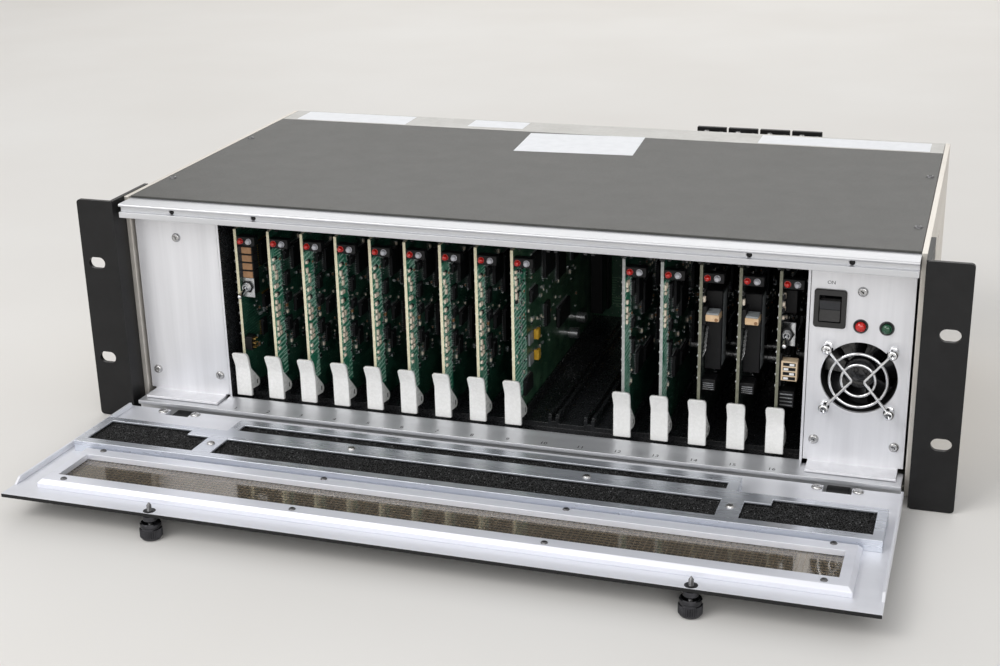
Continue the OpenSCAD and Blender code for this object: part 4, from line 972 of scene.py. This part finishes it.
def thumbscrew(x, body, node):
    """Captive thumbscrew: knurled hollow knob, polished shoulder and a thin shank with a pointed tip."""
    foot = (DOOR_SEAT + KNOB_U * math.sin(DOOR_SLOPE)) / math.cos(DOOR_SLOPE) - 5.6 * math.tan(DOOR_SLOPE)
    screw = Stock(node + "_finished", DOOR)
    screw.turned([(0, -8.4), (4.2, -8.4), (4.2, -5.8), (4.7, -5.8), (5.2, -6.2), (5.25, -7.6), (4.9, -8), (4.9, -8.5),
                  (5.3, -8.8), (5.3, -foot + 0.9), (4.8, -foot + 0.1), (3.2, -foot), (2.9, -foot + 0.4),
                  (0, -foot + 0.5)], (x, -KNOB_U, 0), UP, NICKEL, 40)
    thread = [(radius, z + i * 0.5) for i in range(22) for radius, z in ((1.05, -7.9), (1.25, -7.65))]
    screw.turned([(0, -8.6), *thread, (0.9, 3.4), (0.15, 4.5), (0, 4.5)], (x, -KNOB_U, 0), UP, DARK_STEEL, 20)
    screw.made(body, "toggle_metal", node)
    top, bottom = 8.9, foot - 1.1
    grown(KNURL, node + "_knurl", [door_spot(x, KNOB_U, -(top + bottom) / 2)], body, "toggle_metal",
          band_length=(bottom - top) * MM)


window()
foam()
door_fasteners()
thumbscrew(-KNOB_X, "thumb_left", "thumbscrew_left")
thumbscrew(KNOB_X, "thumb_right", "thumbscrew_right")


# Power module

dressed("psu_case", CASE, "power_module", "case_steel", 0.25)
dressed("psu_panel", PANEL, "power_module", "panel_aluminium", 0.25)
dressed("fan_frame", BLACK, "power_module", "guide_plastic", 0.3)
dressed("rocker", GLOSS, "power_rocker", "guide_plastic", 0.5, 3)


def fan_wheel():
    """Fan rotor: a rounded hub with a shallow dish and seven curved blades, each a grid of points with two sides."""
    wheel = Stock("fan_wheel")
    back, blades, grid, chord = PANEL_Y + 19.7, 7, 7, 15.5
    last, over = grid - 1, grid * grid
    wheel.turned([(0, 0), (8.3, 0), (8.4, 0.3), (8.4, 12.2), (7.9, 12.9), (5.4, 13), (5, 12.8), (4.6, 12.8),
                  (4.3, 13), (0, 13)], (FAN_X, back, FAN_Z), OUT, GLOSS, 40)
    rim = ([*range(grid)] + [a * grid + last for a in range(1, grid)]
           + [last * grid + b for b in range(last - 1, -1, -1)] + [a * grid for a in range(last - 1, 0, -1)])
    for i in range(blades):
        points, faces = [], []
        for side, a, b in product((0, 1), range(grid), range(grid)):
            radius, share, twist = 8 + 10 * a / last, b / last - 0.5, math.radians(52 - 18 * a / last)
            angle = share * chord * math.cos(twist) / radius + 0.16 * a / grid + 2 * math.pi * i / blades
            depth = 6.4 + share * chord * math.sin(twist) * 0.62 + 1.1 * math.cos(math.pi * share)
            depth = min(max(depth + 0.9 * side, 0.4), 12)
            points.append((FAN_X + radius * math.cos(angle), back - depth, FAN_Z + radius * math.sin(angle)))
        for a, b in product(range(last), repeat=2):
            k = a * grid + b
            cell = [k, k + 1, k + grid + 1, k + grid]
            faces += [cell, [cell[c] + over for c in (0, 3, 2, 1)]]
        faces += [[one, two, two + over, one + over] for one, two in zip(rim, rim[1:] + rim[:1])]
        wheel.add(points, faces, GLOSS)
    wheel.made("rotor", "guide_plastic", "fan_rotor")


def finger_guard():
    """Chromed wires: two rings and two bent wires, spot welded, with looped corners under four domed screws."""
    guard, wire = Stock("finger_guard_wires"), 0.75
    for radius in (8.4, 14.2):
        path = [(x, PANEL_Y - 3.4, z) for x, z in circle(FAN_X, FAN_Z, radius, 64)]
        guard.rod(path, wire, CHROME, 12, closed=True)
    for side in (-1, 1):
        knee, inner = Vector((side * 2.9, 0, 0)), Vector((side * 2.5, 0, 0))
        upper, lower = [[Vector((side * GUARD_REACH, 0, z)).lerp(knee, 0.92 * i / 10) for i in range(11)]
                        for z in (GUARD_REACH, -GUARD_REACH)]
        bend = [upper[-1] * (1 - s) ** 2 + inner * 2 * s * (1 - s) + lower[-1] * s ** 2
                for s in (i / 8 for i in range(1, 8))]
        path = [(FAN_X + p.x, PANEL_Y - 4.7, FAN_Z + p.z) for p in upper + bend + lower[::-1]]
        guard.rod(path, wire, CHROME, 12)
    corners = list(product((-GUARD_REACH, GUARD_REACH), repeat=2))
    for x, z in corners:
        guard.turned([(0, 0.02), (2.3, 0.02), (2.4, 0.3), (2.4, 1.2), (2.1, 1.4), (1.5, 1.5), (1.5, 4.2), (0, 4.2)],
                     (FAN_X + x, PANEL_Y, FAN_Z + z), OUT, CHROME, 24)
    guard.made("power_module", "guard_wire", "fan_guard")
    spots = [body_spot(FAN_X + x, PANEL_Y - 4.1, FAN_Z + z, OUT, 0.3 + x * z) for x, z in corners]
    grown(SCREWS, "guard_screws", spots, "power_module", "screw_steel",
          head_radius=0.003, head_height=0.0034, recess_length=0.0032, recess_width=0.0007, finish=CHROME)


def rounded(half_x, half_z, radius, steps=5):
    """A rectangle with round corners about the switch's centre."""
    loop = []
    for x, z, start in ((1, 1, 0), (-1, 1, 90), (-1, -1, 180), (1, -1, 270)):
        for a in (math.radians(start + 90 * i / steps) for i in range(steps + 1)):
            loop.append((SWITCH_X + x * (half_x - radius) + radius * math.cos(a),
                         SWITCH_Z + z * (half_z - radius) + radius * math.sin(a)))
    return loop


def module_fittings():
    """Switch bezel, two lamp holders with domed lenses, and the panel screws."""
    parts = Stock("switch_and_lamps")
    hole = rounded(5.55, 7.1, 0.6)
    for loop, near, far in ((rounded(8, 10.1, 1.6), -0.9, 0), (rounded(7.55, 9.65, 1.3), -1.6, -0.88),
                            (rounded(6.45, 8, 1), -0.02, 13)):
        parts.sheet(loop, [hole], PANEL_Y + near, PANEL_Y + far, GLOSS, "Y")
    parts.blocks((SWITCH_X, PANEL_Y, SWITCH_Z), (-6.35, 12.8, -7.9, 6.35, 14, 7.9, GLOSS))
    for x, lens in ((189.3, RED_LENS), (202, GREEN_LENS)):
        at = (x, PANEL_Y, 89.4)
        parts.turned([(2.75, -2), (2.75, 0.3), (2.75, 1.25), (3.1, 1.35), (3.5, 0.9), (3.75, 0.25), (3.75, 0.01),
                      (2.9, 0.01), (2.9, -2), (2.75, -2)], at, OUT, GLOSS, 32)
        parts.turned([(0, -1.5), (2.6, -1.5), (2.6, 1), *dome(2.6, 1, 1.9, 8)], at, OUT, lens, 28)
    parts.made("power_module", "guide_plastic", "psu_fittings")
    spots = [body_spot(MODULE_X + x, PANEL_Y, z, OUT, 0.2 + z) for x, z in PANEL_SCREWS]
    grown(SCREWS, "module_screws", spots, "power_module", "screw_steel", head_height=0.0014)


fan_wheel()
finger_guard()
module_fittings()


# Cards

FRONT, DEEP, LOW, HIGH = 22.4, 188.4, 14.0, 112.6
FREE_EDGE = (FRONT, 25, FRONT + 10.5, 102)

KINDS = {1: "control", 9: "main", 12: "output", 13: "output", 14: "audio", 15: "audio", 16: "option"}

# Each kind's seed, mask, edge and slot, and the area that is left free of small parts
LOOKS = {"video": (41, TEAL, EDGE, "board_green", FREE_EDGE),
         "output": (31, TEAL, GREY_EDGE, "board_green", FREE_EDGE),
         "main": (29, GREEN, EDGE, "board_green", (FRONT + 22, 34, FRONT + 42, 60)),
         "audio": (37, NIGHT, DARK_EDGE, "board_dark", (FRONT, 42, FRONT + 26, 98)),
         "control": (12, TEAL, EDGE, "board_green", (FRONT, 36, FRONT + 14, 104)),
         "option": (27, NIGHT, DARK_EDGE, "board_dark", (FRONT, 36, FRONT + 14, 104))}

# Chips of each kind of card, as place along and up the board, length, height, thickness and where the leads are
CHIPS = {"video": [(37, 92, 6.2, 5, 1.7, "ends"), (37.5, 76, 5, 8.6, 1.7, "sides"), (37, 66, 6.2, 5, 1.7, "ends"),
                   (37, 49, 5, 8.6, 1.7, "sides"), (47, 84, 14, 14, 2.2, "all"), (47, 58, 10, 8, 2.2, "ends"),
                   (43, 42, 6, 10, 1.8, "sides"), (64, 74, 22, 22, 2.4, "all"), (64, 44, 12, 20, 2.2, "sides"),
                   (94, 78, 16, 16, 2, "all"), (96, 46, 14, 8, 2, "ends"), (120, 84, 12, 18, 2.2, "sides"),
                   (122, 40, 16, 12, 2.2, "ends")],
         "output": [(36, 88, 5, 8.6, 1.7, "sides"), (36, 70, 6.2, 5, 1.7, "ends"), (36, 55, 5, 8.6, 1.7, "sides"),
                    (46, 80, 10, 16, 2.2, "sides"), (46, 40, 12, 12, 2.2, "all"), (60, 70, 18, 18, 2.4, "all"),
                    (64, 40, 20, 8, 2.2, "ends"), (96, 74, 14, 14, 2.2, "all"), (100, 40, 12, 20, 2.2, "sides")],
         "main": [(50, 74, 12, 7, 2, "ends"), (54, 90, 14, 10, 2.4, "all"), (36, 24, 14, 9, 2, "ends"),
                  (76, 80, 20, 20, 2.4, "all"), (78, 50, 8, 14, 2, "sides"), (104, 70, 16, 16, 2, "all"),
                  (104, 40, 24, 12, 2.2, "ends"), (136, 72, 14, 18, 2.2, "sides")],
         "audio": [(52, 84, 9, 14, 2, "sides"), (52, 60, 14, 14, 2.2, "all"), (74, 80, 22, 8, 2.2, "ends"),
                   (76, 50, 16, 16, 2.2, "all"), (106, 70, 16, 16, 2, "all"), (106, 40, 20, 12, 2.2, "ends")]}
CHIPS["control"] = CHIPS["option"] = [c for c in CHIPS["video"] if c[0] > 38]


def lead(x, y, z, *size):
    """The spot of one lead or pad, with its size in millimetres."""
    return body_spot(x, y, z, UP, 0, size)


def small_part(stock, x, y, z, along, length, finish):
    """A two-terminal surface part: body and two tin ends."""
    half, thin, tall, end = length / 2, length * 0.55 / 2, length * 0.32, length * 0.2
    for a, b, coat in ((end - half, half - end, finish), (-half, end - half, TIN), (half - end, half, TIN)):
        low, high = ((0, a, -thin), (tall, b, thin)) if along else ((0, -thin, a), (tall, thin, b))
        stock.blocks((x, y, z), (*low, *high, coat, 0.08))


def chip(stock, leads, x, y, z, length, high, thick, sides):
    """A chip with a polarity dot and its rows of leads."""
    stock.block((x + 0.15, y, z), (x + thick, y + length, z + high), EPOXY, 0.22)
    stock.turned([(0, thick), (0.45, thick), (0.45, thick + 0.02), (0, thick + 0.02)], (x, y + 1.3, z + high - 1.3),
                 RIGHT, GREY_PART, 10)
    pitch, out = 1.27, 0.45
    if sides in ("sides", "all"):
        count = int((high - 1.2) / pitch)
        for k, s in product(range(count + 1), (-out, length + out)):
            leads.append(lead(x + 0.35, y + s, z + high / 2 + (k - count / 2) * pitch, 0.5, 1.1, 0.5))
    if sides in ("ends", "all"):
        count = int((length - 1.2) / pitch)
        for k, s in product(range(count + 1), (-out, high + out)):
            leads.append(lead(x + 0.35, y + length / 2 + (k - count / 2) * pitch, z + s, 0.5, 0.5, 1.1))


def lamp_holder(stock, x):
    """Black right-angle holder with a red and a clear lamp."""
    stock.blocks((x, FRONT, 103.2), (BOARD, 0, 0, 12.6, 5, 5.4, BLACK, 0.35),
                 (1.7, 4.9, 0, 12.5, 6.5, 1.2, BLACK, 0.2))
    for across, lens in ((4, RED_LENS), (9, CLEAR_LENS)):
        stock.turned([(0, -0.6), (1.75, -0.6), (1.75, 0.2), (1.5, 0.25), (1.5, 1.1), *dome(1.5, 1.1, 1.4, 6)],
                     (x + across, FRONT, 105.9), OUT, lens, 20)


TOGGLE_X, TOGGLE_Z = 4.6, 78


def toggle_switch(stock, leads, x):
    """Toggle switch body on its bracket, with a threaded bush and a black ring."""
    stock.blocks((x, 0, 0), (BOARD, 26.6, 73, 8.6, 33, 83, BLACK, 0.3), (BOARD, 25.9, 71.6, 8.7, 26.7, 84.4, TIN, 0.15),
                 (BOARD, 25.9, 71.6, 2, 34.4, 84.4, TIN, 0.15))
    thread = [(radius, z + 0.6 * i) for i in range(5) for radius, z in ((2.6, 0.15), (2.36, 0.4))]
    bush = (x + TOGGLE_X, 25.95, TOGGLE_Z)
    stock.turned([(1.45, 0.05), (2.6, 0), *thread, (1.9, 3.4), (1.45, 3.4), (1.45, 0.05)], bush, OUT, TIN, 24)
    stock.turned([(2.7, 0.1), (3.7, 0.1), (3.7, 0.9), (3.3, 1.1), (2.7, 1.1), (2.7, 0.1)], bush, OUT, BLACK, 6)
    leads += [lead(x + 5, 34, TOGGLE_Z + s, 0.7, 2.4, 1) for s in (-3.4, 0, 3.4)]


def edge_column(stock, x, first, last):
    """Small pale parts crowded along the front edge in two uneven columns, with dark gaps between."""
    rng, z = random.Random(first), first
    while z < last:
        size = rng.choice((1.6, 2.2, 2.2, 3.0))
        for base, share in ((1.2, 0.86), (3.8, 0.4)):
            if rng.random() < share:
                y, up = FRONT + base + rng.uniform(-0.3, 0.6), z + rng.uniform(-0.3, 0.3)
                stock.blocks((x, y, up), (BOARD, 0, 0, 2.9, 2.1, size, CREAM if rng.random() < 0.78 else EPOXY, 0.2),
                             (BOARD, 0.2, -0.35, 1.95, 1.9, size + 0.35, TIN, 0.05))
        z += size + rng.choice((0.9, 1.2, 2.4))


def special_parts(n, stock, leads, x):
    """What only some cards carry: displays, header, capacitors, option block and tall modules."""
    at = (x, FRONT, 0)
    if n == 1:
        for z in (84.4 + 4.75 * i for i in range(4)):
            stock.blocks((x, FRONT, z), (BOARD, 0.3, -0.3, 10.6, 7, 4.3, EPOXY, 0.25),
                         (4.2, -0.3, 0.15, 10.2, 0.5, 3.85, TAN, 0.2))
        toggle_switch(stock, leads, x)
        stock.blocks(at, (BOARD, 0, 40.5, 6, 6, 48.5, BLACK, 0.2))
        leads += [lead(x + 6.6, FRONT + 1.7 + 2.54 * j, 42 + 2.54 * i, 2.6, 0.64, 0.64)
                  for i in range(3) for j in range(2)]
    elif n == 9:
        for z in (50, 37.5):
            stock.blocks((x, FRONT, z), (BOARD, 25, -0.6, 2.6, 32, 6.4, GREY_PART, 0.1),
                         (2, 34, 0, 4.9, 38.4, 6, AMBER, 0.35))
            leads += [lead(x + 2.4, FRONT + 36.2, z + s, 1.6, 2.4, 0.5) for s in (-0.15, 6.15)]
        edge_column(stock, x, 82, 101)
    elif n in (14, 15):
        stock.blocks(at, (3.6, -1, 82.6, 10.6, 8, 86.2, PEACH, 0.35),
                     (3.9, -0.7, 86.1, 10.3, 7.7, 87.2, GREY_PART, 0.3))
        stock.turned([(0, 0), (0.9, 0), (0.9, 0.15), (0, 0.15)], (x + 9.2, FRONT - 1, 83.8), OUT, TAN, 14)
        stock.blocks(at, (BOARD, 1, 80, 3.8, 10, 90, BLACK, 0.2), (BOARD, 10, 52, 10.6, 24, 96, BLACK, 0.5),
                     (10.55, 12, 54, 10.7, 22, 94, GREY_PART, 0.05))
        for i in range(6):
            stock.rod([(x + 2.2, FRONT + 2 + i * 1.1, 62 + 2 * i), (x + 3.4, FRONT + 4 + i * 1.1, 65 + 2 * i),
                       (x + 2.2, FRONT + 7 + i, 69 + 2 * i)], 0.22, TIN, 6)
        edge_column(stock, x, 92, 101)
        stock.blocks(at, (BOARD, 3, 42.5, 9, 12, 49, BLACK, 0.3))
        leads += [lead(x + 5.4, FRONT + 2.7, 43.6 + 1.1 * i, 5.6, 0.5, 0.3) for i in range(4)]
    elif n == 16:
        toggle_switch(stock, leads, x)
        stock.blocks(at, (BOARD, 1, 50, 2.8, 8, 68, BLACK, 0.15), (2.6, -0.4, 53.7, 11, 6, 64.4, BEIGE, 0.3))
        for i in range(4):
            slider = 4 + (i % 2) * 3
            stock.blocks((x, FRONT, 54.4 + 2.54 * i), (3.6, -0.6, 0, 10, -0.3, 1.7, BLACK, 0.1),
                         (slider, -0.98, 0.25, slider + 2.4, -0.4, 1.45, LABEL, 0.12))
        stock.blocks(at, (BOARD, 2, 38, 9.6, 10, 47, BLACK, 0.3))
        leads += [lead(x + 5.6, FRONT + 1.8, 39.4 + 2 * i, 6.4, 0.5, 0.4) for i in range(4)]
        stock.blocks(at, (BOARD, 12, 86, 8, 26, 99, BLACK, 0.4))
        edge_column(stock, x, 86, 101)


def card(n):
    """A whole card as one piece, and its leads and joints as two others."""
    kind, x = KINDS.get(n, "video"), board_x(n)
    seed, mask, edge, slot, free = LOOKS[kind]
    rng, chips = random.Random(seed), CHIPS[kind]
    stock, leads = Stock(f"card_{n}_finished"), []
    outline = [(FRONT, LOW + 3.2), (FRONT + 4, LOW), (DEEP, LOW), (DEEP, HIGH), (FRONT, HIGH)]
    stock.sheet(outline, [circle(PIVOT_Y, PIVOT_Z, 1.7, 20)], x, x + BOARD, mask, "X", rim=edge)
    face = x + BOARD - 0.01
    if kind in ("video", "output", "main"):
        # The front strip takes the lit copy of the mask: painted light on the board's front.
        stock.blocks((face, FRONT, 0), (0, 0.2, 25, 0.05, 22 if kind == "main" else 12.5, 102, LIT_BOARD_FRONT, 0.01))
        leads += [lead(face + 0.2, FRONT + 12.2 + 0.8 * (k % 2), 40 + 1.5 * k, 0.4, 0.7, 0.8) for k in range(40)]
    stock.block((face, 184.4, 21), (x + 9.6, 196.7, 105), BLACK, 0.5)
    lamp_holder(stock, x)
    special_parts(n, stock, leads, x)
    if kind in ("video", "output"):
        edge_column(stock, x, 42 if kind == "video" else 76, 101)
    blocked = [(y - 1.4, z - 1.4, y + long + 1.4, z + high + 1.4) for y, z, long, high, *_ in chips] + [free]
    for c in chips:
        chip(stock, leads, face, *c)
    tones = [CREAM, EPOXY, CREAM, TAN, GREY_PART, EPOXY]
    placed = 0
    while placed < 120:
        y = FRONT + 2.5 + rng.random() ** 1.6 * 125
        z = rng.uniform(36 if y > 32 else 46, 101)
        if any(a < y < c and b < z < d for a, b, c, d in blocked):
            placed += 0.25
            continue
        along, size = rng.random() < 0.5, rng.choice((1.6, 2.0, 2.0, 3.0))
        small_part(stock, face, y, z, along, size, rng.choice(tones))
        blocked.append((y - 1.7, z - 1.7, y + 1.7, z + 1.7))
        placed += 1
    for y in (134, 152):
        z = rng.choice((62, 66, 70)) - 40
        if not any(a - 3 < y < c + 3 and b - 3 < z < d + 3 for a, b, c, d in blocked[:len(chips)]):
            stock.turned([(0, 0), (3.1, 0), (3.1, 0.6), (3.3, 0.8), (3.3, 5.6), (3, 5.9), (0, 5.9)], (face, y, z),
                         RIGHT, CAN, 20)
    leads += [lead(x - 0.12, 186, 23 + 2.4 * k, 0.3, 0.9, 0.9) for k in range(34)]
    back = (-1, 0, 0)
    bumps = [body_spot(x, rng.uniform(30, 180), rng.uniform(22, 108), back, 0, (0.55, 0.55, 0.28)) for _ in range(90)]
    size = (1.2, 1.2, 1.7) if n == 1 else (0.9, 0.9, 0.8)
    bumps += [body_spot(x, FRONT + 1.4, 50 + k * 6.2, back, 0, size) for k in range(9)]
    stock.made(f"card_{n}", slot, f"card_{n}")
    grown(LEADS, f"card_{n}_leads", leads, f"card_{n}", "screw_steel", finish=GOLD if n == 1 else TIN)
    grown(BUMPS, f"card_{n}_solder", bumps, f"card_{n}", "screw_steel")


def ejector(n):
    """White ejector lever: a plate whose head curves forward, two triangular cheeks and the pivot pin."""
    lever = Stock(f"ejector_{n}_finished")
    left, wide, near, thick, cut = board_x(n) - 3.3, 9.4, 17.5, 2.0, 0.3
    middle, points, rings = left + wide / 2, [], []
    for z, half in ((14, 4.3), (14.3, 4.7), (29, 4.7), (30.5, 4.62), (32, 4.55), (33.5, 4.6), (35, 4.7), (36.5, 4.78),
                    (38, 4.82), (39.4, 4.8), (40.2, 4.55), (40.7, 4.15), (41, 3.5)):
        lean = -3.4 * max(0, (z - 29.5) / 11.5) ** 1.5
        inset = cut if 14 < z < 41 else 0.55
        low, high = near + lean + inset - cut, near + thick + lean - inset + cut
        ring = [(inset - half, low), (half - inset, low), (half, low + inset), (half, high - inset),
                (half - inset, high), (inset - half, high), (-half, high - inset), (-half, low + inset)]
        rings.append(list(range(len(points), len(points) + 8)))
        points += [(middle + x, y, z) for x, y in ring]
    faces = [[one[k], one[(k + 1) % 8], two[(k + 1) % 8], two[k]]
             for one, two in zip(rings, rings[1:]) for k in range(8)]
    lever.add(points, faces + [rings[0], rings[-1]], NYLON)
    for x, face in ((left, left), (left + wide - 1.5, left + wide)):
        lever.sheet([(19.3, 18), (26.4, 17.2), (27.6, 17.5), (28.4, 18.3), (28.6, 19.4), (28.3, 20.9), (27.5, 22),
                     (19.3, 30.5)], [], x, x + 1.5, NYLON, "X")
        # A thin black patch on the cheek's outer face stands for the pin slot: painted shade.
        lever.blocks((face, 0, 0), (-0.05, 24.7, 19.1, 0.05, 25.8, 21.7, BLACK, 0.02))
    lever.turned([(0, 0), (1.5, 0), (1.5, wide - 0.2), (0, wide - 0.2)], (left + 0.1, PIVOT_Y, PIVOT_Z), RIGHT,
                 NYLON, 24)
    lever.made(f"ejector_{n}", "ejector_white", f"ejector_{n}", crease=32)


def toggle_lever(n):
    """Bat-shaped chromed lever, drooping from its pivot in the bush."""
    lever = Stock(f"toggle_{n}_finished")
    droop = math.radians(107)
    bat = [(0, -1.2)] + [(1.2 * math.sin(a), -1.2 * math.cos(a)) for a in (0.5, 1.0, 1.5)]
    bat += [(0.82, 0.9), (0.86, 3), (1.15, 7), (1.32, 8.8), (1.3, 9.4), (1.05, 9.95), (0.55, 10.25), (0, 10.3)]
    lever.turned(bat, (board_x(n) + TOGGLE_X, 24, TOGGLE_Z), (0, -math.sin(droop), math.cos(droop)), CHROME, 20)
    lever.made(f"lever_{n}", "toggle_metal", f"toggle_{n}")


for n in CARDS:
    card(n)
    ejector(n)
toggle_lever(1)
toggle_lever(16)
